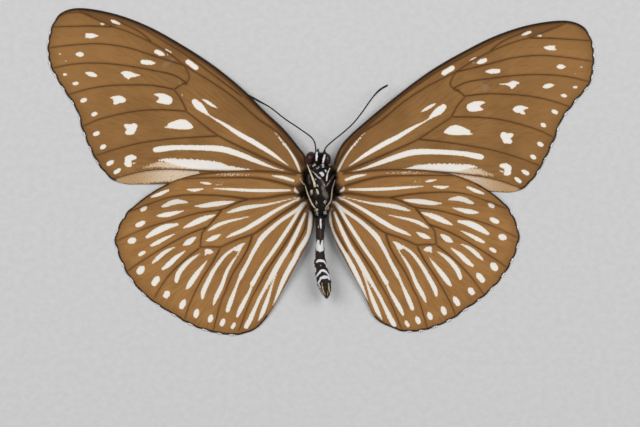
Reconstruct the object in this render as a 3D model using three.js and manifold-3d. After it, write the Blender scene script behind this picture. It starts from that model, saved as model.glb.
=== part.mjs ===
// A set butterfly that lies on its back, wings spread, with its underside up and its head towards +Y.
// Left and right are the insect's own, so its left wings lie towards +X.
// Plan coordinates are measured from the middle of the body, between the wing roots.

import * as THREE from "three";
import { mergeVertices } from "three/addons/utils/BufferGeometryUtils.js";
import Module from "manifold-3d";

const wasm = await Module();
wasm.setup();

// Driving dimensions, in millimetres
const GAP = 0.3;
const WING_THICKNESS = 0.3;
const WING_CELL = 4;
const WING_EDGE_STEPS = 64;
const WING_HEADROOM = 8;
const WING_TRIM_MARGIN = 1;
const DROOP_POWER = 1.5;
const VEIN_HEIGHT = 0.12;
const RIGHT_FOREWING_TURN = THREE.MathUtils.degToRad(2.7);
const RIGHT_FOREWING_SCALE = 1.012;
const RIGHT_HINDWING_STRETCH = 1.03;
const RIGHT_HINDWING_SHIFT = -0.5;

// The forewing's front edge is a stiff rib, which ends at this place along the shared front edge.
const FRONT_RIB = { root: 0.8, margin: 0.4 };
const FRONT_RIB_ENDS = 4;

// Each wing pair hinges near the thorax, stands highest there and lies flat past its reach.
const FORE = { hinge: new THREE.Vector2(2.5, 2.5), rise: 2.6, reach: 30 };
const HIND = { hinge: new THREE.Vector2(2.8, -1), rise: 3, reach: 26 };

// The hindwing's front strip lies over the forewing's inner margin, in front of these two lines.
const OVERLAP = { starts: -5, full: -1.2, stack: 2 * WING_THICKNESS };

// Forewing outlines as drawn for the left: each side has its own front edge near the hinge and its own outer
// margin, and both share the front edge as far as the tip and the hidden inner margin.
const FOREWING_SHOULDERS = {
  left: [[2.4, 3.2], [2.8, 4.7], [3.7, 6.55], [5.2, 8.25], [8.9, 11.5]],
  right: [[2.5, 3.2], [2.7, 4.7], [3.7, 5.95], [6.2, 8.75], [10, 12.05]],
};
const FOREWING_FRONT = [
  [13, 14.85], [18.3, 18.8], [23.9, 22.1], [29.4, 24.8], [35, 26.6], [40.6, 27.3], [42.8, 26.9], [44.2, 26.1],
  [45, 24.7], [45.5, 22.8],
];
const FOREWING_MARGINS = {
  left: [[45.6, 20.6], [44.9, 16.9], [42.5, 13.9], [40.3, 10.8], [39, 7.5], [37.1, 3.6], [35, 0.4],
    [33.6, -0.7]],
  right: [[45.7, 20.3], [45, 17.4], [43.3, 14.6], [40.6, 10.7], [39.5, 7.7], [37.7, 3.8], [35.3, 0.4],
    [33.8, -0.7]],
};
const FOREWING_INNER = [[31.7, -1.2], [29.4, -1.1], [26, -0.4], [15, 0.6], [3.5, 1]];

// Hindwing outlines, from the shoulder along the front edge, outer margin and inner margin.
const HINDWING_OUTLINES = {
  left: [
    [2.9, 2.2], [5, 2.1], [9.2, 2.6], [13.3, 2.7], [17.5, 2.5], [21.7, 1.9], [26, 0.3], [30.2, -2.5],
    [31.9, -4.6], [33, -7.1], [33.2, -8.5], [32.5, -11.5], [30.2, -15.5], [28.1, -17.8], [24.2, -20.8],
    [21.25, -22.7], [17.9, -24], [14.4, -24.4], [11.25, -23.5], [9.2, -22.1], [7.1, -17.9], [4.8, -13.75],
    [2.5, -9.2], [1.35, -5.8], [1.9, -3.5],
  ],
  right: [
    [2.9, 1.7], [5, 2], [10, 2.5], [14.2, 2.4], [18.3, 2.2], [22.5, 1.3], [25.4, 0.2], [29.2, -2],
    [32.3, -4.8], [34, -8.1], [34.1, -9.6], [33.1, -12.7], [30.8, -16.5], [29, -18.5], [24.6, -21.5],
    [20.4, -23.75], [16.25, -24.8], [14.2, -25], [11, -24.2], [8.75, -21.9], [6.25, -17.7], [3.3, -12.1],
    [1.9, -9.4], [1, -6.5], [1.7, -3.5],
  ],
};

// Left wing veins, each a line of plan points with its half width at the root and at the margin.
const FOREWING_VEINS = [
  { line: [[3.2, 2.3], [10, 10.8], [22, 19.2], [34.7, 24.5], [45, 24.05]], root: 0.3, margin: 0.16 },
  { line: [[3.4, 1.9], [12.2, 5.7], [19.9, 10], [22.1, 11.4], [24.1, 14.8]], root: 0.3, margin: 0.2 },
  { line: [[16.5, 7.6], [24.5, 6.6], [33.2, 4.5], [37.4, 2.8]], root: 0.24, margin: 0.15 },
  { line: [[21.9, 11.35], [29.8, 10.95], [39.8, 7.5]], root: 0.24, margin: 0.15 },
  { line: [[24.1, 14.8], [31.6, 15.1], [38.7, 14], [43, 12.2]], root: 0.24, margin: 0.15 },
  { line: [[23, 15.7], [29.2, 17.9], [38.4, 18.35], [45.5, 17.1]], root: 0.24, margin: 0.15 },
  { line: [[23.9, 19.3], [32.2, 21.3], [41.5, 21.2], [46, 20.5]], root: 0.24, margin: 0.15 },
];
const HINDWING_VEINS = [
  { line: [[5, 0.1], [11.25, 1.46], [22.9, 1.4]], root: 0.24, margin: 0.15 },
  { line: [[3.75, -1.2], [11.5, -2.1], [19.6, -1.2], [25.8, -2], [31.6, -4.1]], root: 0.3, margin: 0.15 },
  { line: [[11.5, -2.1], [15.8, -3.7], [23.75, -5.3], [33.6, -9.1]], root: 0.24, margin: 0.15 },
  { line: [[15.8, -3.7], [18.1, -6.5], [25.8, -10.2], [31.6, -14.2]], root: 0.24, margin: 0.15 },
  { line: [[2.9, -2.9], [10.8, -8], [19.4, -10], [23.75, -13.75], [27.6, -18.5]], root: 0.3, margin: 0.15 },
  { line: [[16.15, -10.2], [19.2, -15.2], [22.7, -22.3]], root: 0.24, margin: 0.15 },
  { line: [[10.9, -8.1], [14.2, -14.6], [18.1, -24.2]], root: 0.24, margin: 0.15 },
  { line: [[3.1, -4.2], [9.2, -14.6], [13.7, -24.3]], root: 0.26, margin: 0.15 },
];

// Body pieces run through stations of [x, y, z, half width, half depth].
const THORAX = [
  [0, 2.95, 3.2, 1.5, 1.2], [0, 2.5, 3.2, 2.05, 2], [0, 1.4, 3.3, 2.35, 2.75], [0, -0.4, 3.3, 2.15, 2.95],
  [0, -2.2, 3.2, 1.9, 2.65], [0, -3.7, 3.1, 1.5, 2.1], [0, -4.7, 3, 1.05, 1.55], [0, -5.2, 3, 0.6, 1],
];
const ABDOMEN = [
  [0.05, -5.5, 3, 0.62, 0.95], [0.05, -6.2, 3, 0.82, 1.2], [0, -8.8, 2.9, 0.66, 1.05],
  [0, -11, 2.8, 0.76, 1.15], [0.05, -13, 2.7, 1, 1.3], [0.4, -15, 2.6, 1.14, 1.35],
  [0.75, -16.5, 2.5, 1.12, 1.25], [1.05, -17.9, 2.45, 0.72, 0.85], [1.15, -18.85, 2.4, 0.18, 0.3],
];
const ABDOMEN_RINGS = 8;
const ABDOMEN_GROOVE = 0.07;
const ABDOMEN_GROOVE_SHARPNESS = 6;
const HEAD = { centre: [-0.15, 4.35, 3.3], radii: [1.45, 1.1, 1.4] };
const EYES = {
  left: { centre: [1.15, 4.3, 3.45], radii: [0.8, 1, 1.1] },
  right: { centre: [-1.45, 4.4, 3.45], radii: [0.85, 1.1, 1.15] },
};
const PALPS = {
  left: [[0.45, 3.2, 5.05, 0.18, 0.2], [0.6, 3.9, 5.3, 0.3, 0.28], [0.8, 4.9, 5.15, 0.27, 0.26],
    [0.75, 5.7, 4.6, 0.1, 0.1]],
  right: [[-0.5, 3.3, 5.05, 0.18, 0.2], [-0.6, 4.2, 5.3, 0.3, 0.28], [-0.5, 5.2, 5.1, 0.27, 0.26],
    [-0.28, 5.95, 4.55, 0.1, 0.1]],
};

// The antennae keep one shaft thickness and swell to a slim club near the tip.
const ANTENNAE = {
  left: [[0.54, 5.75, 3.3], [1.65, 7.1, 3.4], [3.5, 8.4, 3.3], [5.3, 10, 3.2], [6.8, 11.8, 3],
    [8.8, 14.6, 2.7], [9.95, 15.8, 2.5], [11.3, 16.6, 2.4]],
  right: [[-0.75, 5.8, 3.3], [-0.8, 6.7, 3.4], [-1.27, 7.7, 3.4], [-3.5, 9.4, 3.2], [-5.8, 10.95, 3],
    [-8.33, 12.9, 2.7], [-10.3, 14, 2.5], [-11.9, 14.9, 2.4]],
};
const ANTENNA_SHAFT = 0.1;
const ANTENNA_CLUB = 0.2;
const ANTENNA_CLUB_STARTS = 0.72;

// Folded legs, from the hip to the foot, with half widths.
const LEGS = {
  foreleg_left: [[1.25, 0.5, 6.1, 0.16], [1.4, 1.2, 5.95, 0.17], [1.7, 2, 5.5, 0.14], [2, 2.8, 5, 0.08]],
  foreleg_right: [[-0.2, 1.1, 6.6, 0.15], [-0.75, 1.75, 6.1, 0.16], [-1.3, 2.35, 5.5, 0.09]],
  midleg_left: [[1.05, -0.25, 6.3, 0.18], [1.65, 0.65, 5.6, 0.17], [2.4, 1.7, 4.7, 0.12]],
  midleg_right: [[-0.8, -0.4, 6.6, 0.2], [-0.95, 0.3, 6.45, 0.19], [-1.5, 1.8, 5.75, 0.14],
    [-2.15, 3.4, 5, 0.08]],
  hindleg_left: [[0.95, -3.8, 5.2, 0.18], [1.75, -2.7, 4.8, 0.17], [2.05, -0.6, 4.65, 0.14],
    [2.52, 0.9, 4.3, 0.1]],
  hindleg_right: [[-0.8, -3.9, 5.2, 0.18], [-1.35, -3.1, 5, 0.17], [-1.95, -1.7, 4.6, 0.15],
    [-2.5, 0, 4.2, 0.1]],
};

// Facets round and along each kind of piece
const ROUND = { thorax: 16, abdomen: 10, ball: 12, palp: 8, antenna: 6, leg: 6, vein: 4 };
const ALONG = { thorax: 12, abdomen: 3 * ABDOMEN_RINGS, ball: 8, palp: 8, antenna: 18, leg: 8 };

// Finishes
function finish(color, roughness) {
  return new THREE.MeshStandardMaterial({ color, roughness, metalness: 0 });
}
const wingScales = () => finish(0x8a6238, 0.75);
const blackFur = () => finish(0x1c1613, 0.9);
const ringedScales = () => finish(0x3a302b, 0.8);
const eyeShell = () => finish(0x42262a, 0.25);
const legHorn = () => finish(0x54452f, 0.55);

function solidOf(geometry) {
  const bare = geometry.clone();
  bare.deleteAttribute("normal");
  bare.deleteAttribute("uv");
  const merged = mergeVertices(bare);
  const mesh = new wasm.Mesh({
    numProp: 3,
    vertProperties: new Float32Array(merged.attributes.position.array),
    triVerts: new Uint32Array(merged.index.array),
  });
  return new wasm.Manifold(mesh);
}

function geometryOf(solid) {
  const mesh = solid.getMesh();
  const geometry = new THREE.BufferGeometry();
  geometry.setAttribute("position", new THREE.BufferAttribute(mesh.vertProperties, 3));
  geometry.setIndex(new THREE.BufferAttribute(mesh.triVerts, 1));
  geometry.computeVertexNormals();
  return geometry;
}

// Moves every vertex of a geometry to the place that a function gives for it.
function warp(geometry, place) {
  const position = geometry.attributes.position;
  const point = new THREE.Vector3();
  for (let index = 0; index < position.count; index += 1) {
    point.fromBufferAttribute(position, index);
    position.setXYZ(index, ...place(point).toArray());
  }
  return geometry;
}

// A tapering rod with round sides along a smooth path of stations. Grow thickens it all round.
function limb(stations, sides, steps, grow = 0, swell = () => 1) {
  const centres = stations.map(([x, y, z]) => new THREE.Vector3(x, y, z));
  const girths = stations.map(([, , , width, depth]) => new THREE.Vector3(width, depth ?? width, 0));
  const path = new THREE.CatmullRomCurve3(centres, false, "centripetal");
  const girth = new THREE.CatmullRomCurve3(girths, false, "catmullrom");
  const up = new THREE.Vector3(0, 0, 1);
  return warp(new THREE.CylinderGeometry(1, 1, 1, sides, steps), (point) => {
    const along = 0.5 - point.y;
    const tangent = path.getTangent(along);
    const across = new THREE.Vector3().crossVectors(tangent, up).normalize();
    const over = new THREE.Vector3().crossVectors(across, tangent);
    const size = girth.getPoint(along).multiplyScalar(swell(along));
    return path.getPoint(along)
      .addScaledVector(across, point.x * (size.x + grow))
      .addScaledVector(over, -point.z * (size.y + grow));
  });
}

function ellipsoid({ centre, radii }, grow = 0) {
  const geometry = new THREE.SphereGeometry(1, ROUND.ball, ALONG.ball);
  geometry.scale(...radii.map((radius) => radius + grow));
  return geometry.translate(...centre);
}

// Height of a wing's middle surface over the ground, alike on both sides of the body.
function droop({ hinge, rise, reach }, x, y) {
  const distance = Math.hypot(Math.abs(x) - hinge.x, y - hinge.y);
  return WING_THICKNESS / 2 + rise * Math.max(0, 1 - distance / reach) ** DROOP_POWER;
}

function foreHeight(x, y) {
  return droop(FORE, x, y);
}

function hindHeight(x, y) {
  const free = droop(HIND, x, y);
  const stacked = Math.max(free, foreHeight(x, y) + OVERLAP.stack);
  return THREE.MathUtils.lerp(free, stacked, THREE.MathUtils.smoothstep(y, OVERLAP.starts, OVERLAP.full));
}

// Places of the template's plan points on each side of the body.
function asDrawn([x, y]) {
  return new THREE.Vector2(x, y);
}

function rightForewingPlace([x, y]) {
  const arm = new THREE.Vector2(x, y).sub(FORE.hinge);
  arm.rotateAround(new THREE.Vector2(), RIGHT_FOREWING_TURN).multiplyScalar(RIGHT_FOREWING_SCALE);
  return new THREE.Vector2(-arm.x - FORE.hinge.x, arm.y + FORE.hinge.y);
}

function rightHindwingPlace([x, y]) {
  return new THREE.Vector2(-x * RIGHT_HINDWING_STRETCH, y + RIGHT_HINDWING_SHIFT);
}

// A vein is a low ridge on the wing's upper face.
function vein({ line, root, margin }, place, height) {
  const stations = line.map((drawn, index) => {
    const { x, y } = place(drawn);
    const halfWidth = THREE.MathUtils.lerp(root, margin, index / (line.length - 1));
    return [x, y, height(x, y) + WING_THICKNESS / 2, halfWidth, VEIN_HEIGHT];
  });
  return limb(stations, ROUND.vein, line.length + 1);
}

// A wing is a bent sheet with its veins, trimmed to its outline and to the thorax.
function wing(corners, veins, place, height) {
  const knots = corners.map(({ x, y }) => new THREE.Vector3(x, y, 0));
  const rim = new THREE.CatmullRomCurve3(knots, true, "centripetal");
  const edge = rim.getSpacedPoints(WING_EDGE_STEPS).slice(1).map(({ x, y }) => new THREE.Vector2(x, y));
  const room = { depth: WING_HEADROOM, bevelEnabled: false };
  const outer = new THREE.ExtrudeGeometry(new THREE.Shape(edge), room);
  outer.translate(0, 0, -WING_THICKNESS);
  const box = new THREE.Box2().setFromPoints(edge).expandByScalar(WING_TRIM_MARGIN);
  const size = box.getSize(new THREE.Vector2());
  const middle = box.getCenter(new THREE.Vector2());
  const cells = [size.x, size.y].map((length) => Math.ceil(length / WING_CELL));
  const sheet = new THREE.BoxGeometry(size.x, size.y, WING_THICKNESS, ...cells, 1);
  sheet.translate(middle.x, middle.y, 0);
  warp(sheet, (point) => point.setZ(point.z + height(point.x, point.y)));
  let solid = solidOf(sheet);
  for (const each of veins) {
    solid = solid.add(solidOf(vein(each, place, height)));
  }
  const body = solidOf(limb(THORAX, ROUND.thorax, ALONG.thorax, GAP));
  return geometryOf(solid.intersect(solidOf(outer)).subtract(body));
}

function abdomenRings(along) {
  return 1 - ABDOMEN_GROOVE * Math.abs(Math.cos(Math.PI * ABDOMEN_RINGS * along)) ** ABDOMEN_GROOVE_SHARPNESS;
}

function antennaStations(line) {
  return line.map(([x, y, z], index) => {
    const along = index / (line.length - 1);
    const radius = along > ANTENNA_CLUB_STARTS ? ANTENNA_CLUB : ANTENNA_SHAFT;
    return [x, y, z, index === line.length - 1 ? ANTENNA_SHAFT : radius];
  });
}

const butterfly = new THREE.Group();

function addPiece(name, geometry, material) {
  const mesh = new THREE.Mesh(geometry, material);
  mesh.name = name;
  butterfly.add(mesh);
}

addPiece("thorax", limb(THORAX, ROUND.thorax, ALONG.thorax), blackFur());
addPiece("abdomen", limb(ABDOMEN, ROUND.abdomen, ALONG.abdomen, 0, abdomenRings), ringedScales());

let headSolid = solidOf(ellipsoid(HEAD));
headSolid = headSolid.subtract(solidOf(limb(THORAX, ROUND.thorax, ALONG.thorax, GAP)));
for (const eye of Object.values(EYES)) {
  headSolid = headSolid.subtract(solidOf(ellipsoid(eye, GAP)));
}
addPiece("head", geometryOf(headSolid), blackFur());

for (const side of ["left", "right"]) {
  addPiece(`eye_${side}`, ellipsoid(EYES[side]), eyeShell());
  addPiece(`palp_${side}`, limb(PALPS[side], ROUND.palp, ALONG.palp), blackFur());
  addPiece(`antenna_${side}`, limb(antennaStations(ANTENNAE[side]), ROUND.antenna, ALONG.antenna), legHorn());
}

for (const [name, stations] of Object.entries(LEGS)) {
  addPiece(name, limb(stations, ROUND.leg, ALONG.leg), legHorn());
}

for (const [side, place] of [["left", asDrawn], ["right", rightForewingPlace]]) {
  const front = [...FOREWING_SHOULDERS[side], ...FOREWING_FRONT.slice(0, FRONT_RIB_ENDS)];
  const veins = [{ line: front, ...FRONT_RIB }, ...FOREWING_VEINS];
  const outline = [FOREWING_SHOULDERS[side], FOREWING_FRONT, FOREWING_MARGINS[side], FOREWING_INNER].flat();
  const corners = outline.map(place);
  addPiece(`forewing_${side}`, wing(corners, veins, place, foreHeight), wingScales());
}

for (const [side, place, mirror] of [["left", asDrawn, 1], ["right", rightHindwingPlace, -1]]) {
  const corners = HINDWING_OUTLINES[side].map(([x, y]) => new THREE.Vector2(mirror * x, y));
  addPiece(`hindwing_${side}`, wing(corners, HINDWING_VEINS, place, hindHeight), wingScales());
}

// The origin is under the middle of the whole specimen, on the ground.
const bounds = new THREE.Box3().setFromObject(butterfly);
const middle = bounds.getCenter(new THREE.Vector3());
butterfly.position.set(-middle.x, -middle.y, -bounds.min.z);

export default butterfly;
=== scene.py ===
import math

import bmesh
import bpy
import numpy as np
from mathutils import Matrix, Vector


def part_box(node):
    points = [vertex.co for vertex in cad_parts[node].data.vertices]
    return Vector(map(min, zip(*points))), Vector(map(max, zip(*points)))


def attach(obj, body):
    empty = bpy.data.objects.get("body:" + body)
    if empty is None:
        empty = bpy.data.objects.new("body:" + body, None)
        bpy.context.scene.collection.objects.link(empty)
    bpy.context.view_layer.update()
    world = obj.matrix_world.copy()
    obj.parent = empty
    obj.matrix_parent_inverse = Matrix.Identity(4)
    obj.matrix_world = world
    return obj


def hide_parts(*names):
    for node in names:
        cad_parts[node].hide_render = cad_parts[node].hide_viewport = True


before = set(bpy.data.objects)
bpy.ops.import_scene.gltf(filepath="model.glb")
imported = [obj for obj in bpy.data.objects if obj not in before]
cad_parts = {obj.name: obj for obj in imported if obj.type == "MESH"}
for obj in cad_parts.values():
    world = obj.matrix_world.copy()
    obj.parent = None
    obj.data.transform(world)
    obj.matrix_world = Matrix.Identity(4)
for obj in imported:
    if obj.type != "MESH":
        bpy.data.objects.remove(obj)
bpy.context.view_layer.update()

# Thorax
# The middle of the body: a barrel of dark horny plates, furrowed where the legs' bases meet, and furred.
# It lies with its underside up, carries the wings and legs, and has tufts of white and cream scales.
MM = 0.001
UP = np.array((0, 0, 1))
THORAX = [
    (0, 2.95, 3.2, 1.5, 1.2), (0, 2.5, 3.2, 2.05, 2), (0, 1.4, 3.3, 2.35, 2.75), (0, -0.4, 3.3, 2.15, 2.95),
    (0, -2.2, 3.2, 1.9, 2.65), (0, -3.7, 3.1, 1.5, 2.1), (0, -4.7, 3, 1.05, 1.55), (0, -5.2, 3, 0.6, 1),
]
THORAX_SKIN = 0.93
THORAX_FURROWS = [
    [(0, 3, 0.1), (0, -4.8, 0.1)],
    [(-2, 1.9, 0.08), (0, 0.7, 0.1), (2, 1.9, 0.08)],
    [(-2, -0.2, 0.08), (0, -1.6, 0.1), (2, -0.2, 0.08)],
    [(-1.8, -2.3, 0.08), (0, -3.4, 0.1), (1.8, -2.3, 0.08)],
]
FURROW_DEPTH = 0.22
FURROW_WIDTH = 0.25
THORAX_WHITE = [
    [(0, 2.02, 0.14), (0.3, 1.95, 0.26), (0.45, 1.62, 0.2)], [(-0.15, 1.25, 0.13), (0.05, 1.1, 0.15)],
    [(0.88, 2.5, 0.09), (1, 2.2, 0.1)], [(-0.92, 1.05, 0.08), (-0.8, 0.9, 0.11)],
    [(-0.46, 0.05, 0.07), (-0.38, -0.25, 0.07)], [(0.9, -2.65, 0.15), (0.82, -2.95, 0.14)],
    [(0.92, -4.4, 0.14), (0.7, -4.6, 0.12)], [(-0.6, -4.55, 0.1), (-0.42, -4.75, 0.12)],
    [(0.7, 0.05, 0.06), (0.92, -0.28, 0.07), (1.1, -0.1, 0.06)],
]
THORAX_CREAM = [
    [(-0.58, -0.85, 0.16), (-0.5, -1.1, 0.2), (-0.36, -1.45, 0.17)],
    [(-1.5, -0.95, 0.14), (-1.36, -1.4, 0.12)],
    [(-0.72, -3.95, 0.17), (-0.5, -4.15, 0.17)], [(1.3, -3.5, 0.13), (1, -3.9, 0.19)],
    [(-0.7, -2.75, 0.1), (-0.62, -3.1, 0.1)],
]
THORAX_GREY = [
    [(0.45, -0.3, 0.2), (0.75, -1.1, 0.37), (1.05, -1.9, 0.32), (1.25, -2.35, 0.15)],
    [(0.34, 0.64, 0.12), (0.8, -0.15, 0.14), (1.2, -0.1, 0.12)], [(-1.9, 1.6, 0.08), (-1.7, 0.2, 0.1)],
]
FUR_BLACK = (0.0045, 0.0038, 0.0037)
FUR_BROWN = (0.014, 0.0095, 0.007)
TUFT_WHITE = (0.78, 0.77, 0.78)
TUFT_CREAM = (0.83, 0.69, 0.44)
DUST_GREY = (0.2, 0.16, 0.125)

low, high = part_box("thorax")
PLAN = Vector(((low.x + high.x) / 2, high.y - THORAX[0][1] * MM, 0))
INTO_FRAME = Matrix.Translation(PLAN) @ Matrix.Scale(MM, 4)


def smooth_line(knots, steps, closed=False):
    """Points of a smooth line through the knots, with as many steps between each two."""
    knots = np.asarray(knots, float)
    if closed:
        run = np.vstack([knots[-1:], knots, knots[:2]])
    else:
        run = np.vstack([2 * knots[0] - knots[1], knots, 2 * knots[-1] - knots[-2]])
    gap = np.sqrt(np.linalg.norm(np.diff(run[:, :3], axis=0), axis=1))
    t = np.arange(steps)[:, None] / steps
    parts = []
    for first in range(len(run) - 3):
        a, b, c, d = run[first:first + 4]
        before, here, after = gap[first:first + 3]
        leave = here * ((b - a) / before - (c - a) / (before + here)) + c - b
        arrive = here * ((d - c) / after - (d - b) / (here + after)) + c - b
        bend = t * (1 - t) * ((1 - t) * (leave - c + b) - t * (arrive - c + b))
        parts.append(b + t * (c - b) + bend)
    return np.vstack(parts + ([] if closed else [knots[-1:]]))


def unit(vectors):
    return vectors / np.maximum(np.linalg.norm(vectors, axis=-1, keepdims=True), 1e-9)


def rod(bm, stations, sides, steps, ends=0.05, swell=None):
    """A grid rolled into a rod with round sides along the stations, closed to a point at both ends."""
    line = smooth_line(stations, steps)
    last = len(line) - 1
    along = np.linspace(0, 1, last + 1)
    heading = unit(np.gradient(line[:, :3], axis=0))
    across = unit(np.cross(heading, UP))
    over = np.cross(across, heading)
    round_off = np.clip(1 - np.minimum(along, 1 - along) / ends, 0, 1)
    girth = np.sqrt(1 - round_off ** 2) * (1 if swell is None else swell(along))
    grid = bmesh.ops.create_grid(bm, x_segments=sides, y_segments=last, size=0.5)["verts"]
    spots = np.array([vert.co for vert in grid]) + 0.5
    turn = 2 * math.pi * spots[:, :1]
    row = np.rint(spots[:, 1] * last).astype(int)
    wide = (girth * line[:, 3])[row, None]
    deep = (girth * line[:, -1])[row, None]
    places = line[row, :3] + across[row] * np.cos(turn) * wide + over[row] * np.sin(turn) * deep
    for vert, place in zip(grid, places):
        vert.co = place
    bmesh.ops.remove_doubles(bm, verts=grid, dist=1e-4)


def outside_of(points, strokes):
    """How far plan points lie outside brush strokes of x, y and half width. Negative inside."""
    nearest = np.full(len(points), 99.0)
    for stroke in strokes:
        line = smooth_line(stroke, 3)
        for start, end in zip(line, line[1:]):
            step = end[:2] - start[:2]
            share = np.clip((points - start[:2]) @ step / max(step @ step, 1e-9), 0, 1)
            gap = np.linalg.norm(points - start[:2] - share[:, None] * step, axis=1)
            nearest = np.minimum(nearest, gap - start[2] - share * (end[2] - start[2]))
    return nearest


def shape_of(bm):
    """A finished copy of the mesh, in millimetres, with its faces outwards."""
    bmesh.ops.recalc_face_normals(bm, faces=bm.faces[:])
    mesh = bpy.data.meshes.new("shape")
    bm.to_mesh(mesh)
    bm.free()
    mesh.shade_smooth()
    return mesh


def spots_of(mesh, what="co"):
    values = np.empty(3 * len(mesh.vertices))
    if what == "co":
        mesh.vertices.foreach_get("co", values)
    else:
        mesh.vertex_normals.foreach_get("vector", values)
    return values.reshape(-1, 3)


def move_to(mesh, places):
    mesh.vertices.foreach_set("co", places.ravel())
    mesh.update()


def paint_by(mesh, **values):
    """Gives every vertex its number under each name, for the finish to read."""
    for name, numbers in values.items():
        mesh.attributes.new(name, "FLOAT", "POINT").data.foreach_set("value", numbers)


def place_piece(name, mesh, finishes, nodes=()):
    mesh.name = name
    for finish in finishes:
        mesh.materials.append(finish)
    mesh.transform(INTO_FRAME)
    piece = bpy.data.objects.new(name, mesh)
    bpy.context.scene.collection.objects.link(piece)
    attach(piece, "root")
    if nodes:
        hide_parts(*nodes)
    return piece


class Wire:
    """A socket in a finish's node tree, so that its maths reads as arithmetic."""

    def __init__(self, tree, socket=None):
        self.tree = tree
        self.socket = socket

    def node(self, kind, settings=(), sockets=(), output=0):
        made = self.tree.nodes.new("ShaderNode" + kind)
        for key, value in dict(settings).items():
            setattr(made, key, value)
        for key, value in dict(sockets).items():
            if isinstance(value, Wire):
                self.tree.links.new(value.socket, made.inputs[key])
            else:
                made.inputs[key].default_value = value
        return Wire(self.tree, made.outputs[output])

    def maths(self, operation, first, second=0.0):
        return self.node("Math", {"operation": operation}, {0: first, 1: second})

    def __add__(self, other):
        return self.maths("ADD", self, other)

    __radd__ = __add__

    def __mul__(self, other):
        return self.maths("MULTIPLY", self, other)

    __rmul__ = __mul__

    def __sub__(self, other):
        return self.maths("SUBTRACT", self, other)

    def __rsub__(self, other):
        return self.maths("SUBTRACT", other, self)

    def within(self, edge, blur):
        """1 where the value is under the edge, 0 well above it."""
        steps = {"From Min": edge - blur, "From Max": edge + blur, "To Min": 1.0, "To Max": 0.0}
        return self.node("MapRange", {"interpolation_type": "SMOOTHSTEP"}, {"Value": self, **steps})

    def number(self, name):
        return self.node("Attribute", {"attribute_name": name}, output="Fac")

    def mix(self, share, first, second):
        """From the first colour to the second by the share."""
        def ready(colour):
            return colour if isinstance(colour, Wire) else (*colour, 1)
        settings = {"data_type": "RGBA"}
        return self.node("Mix", settings, {0: share, 6: ready(first), 7: ready(second)}, 2)

    def noise(self, scale, detail=2.0, where=None, output=0):
        spot = where or self.node("TexCoord", output="Object")
        sockets = {"Vector": spot, "Scale": scale, "Detail": detail}
        return self.node("TexNoise", (), sockets, output)

    def bump(self, height, depth):
        return self.node("Bump", (), {"Height": height, "Strength": 1.0, "Distance": depth * MM})

    def into(self, socket):
        shader = self.tree.nodes["Principled BSDF"]
        self.tree.links.new(self.socket, shader.inputs[socket])


def new_finish(name, **shader_values):
    """A material with its constant values set, and a wire to build the rest of it from."""
    material = bpy.data.materials.new(name)
    material.use_nodes = True
    shader = material.node_tree.nodes["Principled BSDF"]
    for socket, value in shader_values.items():
        shader.inputs[socket.replace("_", " ")].default_value = value
    return material, Wire(material.node_tree)


def tufted_finish(name, ground, speckle, shine, roughest, cream=TUFT_CREAM, dust=DUST_GREY):
    """Dark plates or fur whose white, cream and grey tufts lie where the piece's numbers say."""
    material, wire = new_finish(name, Specular_IOR_Level=shine)
    ragged = wire.noise(3200, 3) * 0.22 - 0.11
    colour = wire.mix(wire.noise(900, 4).within(0.42, 0.2), speckle, ground)
    colour = wire.mix((wire.number("grey") + ragged).within(0, 0.18) * 0.8, colour, dust)
    colour = wire.mix((wire.number("cream") + ragged).within(0, 0.05), colour, cream)
    colour = wire.mix((wire.number("white") + ragged).within(0, 0.05), colour, TUFT_WHITE)
    colour.into("Base Color")
    (roughest - 0.4 * wire.noise(2500, 3)).into("Roughness")
    wire.bump(wire.noise(5200, 4), 0.07).into("Normal")
    return material


PLATES = tufted_finish("thorax_plates", FUR_BLACK, FUR_BROWN, shine=0.17, roughest=0.65)


def barrel(sides, steps):
    """The thorax's rounded form, a little inside the reach of its hairs."""
    bm = bmesh.new()
    stations = [(x, y, z, wide * THORAX_SKIN, deep * THORAX_SKIN) for x, y, z, wide, deep in THORAX]
    rod(bm, stations, sides, steps, ends=0.02)
    return shape_of(bm)


thorax = barrel(sides=96, steps=16)
skin, facing = spots_of(thorax), spots_of(thorax, "normal")
belly = np.clip(facing[:, 2] * 2, 0, 1)
furrow = np.exp(-(np.maximum(outside_of(skin[:, :2], THORAX_FURROWS), 0) / FURROW_WIDTH) ** 2)
move_to(thorax, skin - facing * (FURROW_DEPTH * furrow * belly)[:, None])
AWAY = 9.0
UPTURNED = 0.05


def tufts_at(points, up, white, cream, grey):
    """The three tuft numbers at plan points, kept to the upturned side of the body."""
    hidden = np.where(up > UPTURNED, 0, AWAY)
    return {
        "white": outside_of(points, white) + hidden,
        "cream": outside_of(points, cream) + hidden,
        "grey": outside_of(points, grey) + hidden,
    }


THORAX_TUFTS = (THORAX_WHITE, THORAX_CREAM, THORAX_GREY)
paint_by(thorax, **tufts_at(skin[:, :2], facing[:, 2], *THORAX_TUFTS))
place_piece("thorax_plates", thorax, [PLATES], ["thorax"])


# Thorax fur
# Fine hairs rooted in the plates, longest down the flanks and thin on the breast, combed back to the tail.
# The hairs over a tuft take its colour. Their tips stay within the body's outer form.
FLANK_HAIR = 0.75
BREAST_HAIR = 0.24
ROOT_JITTER = 0.03
VERTS_A_HAIR = 7
OFF_UP = UP + 0.013
FUR = tufted_finish("thorax_fur", FUR_BLACK, FUR_BROWN, shine=0.12, roughest=0.9)


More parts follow.
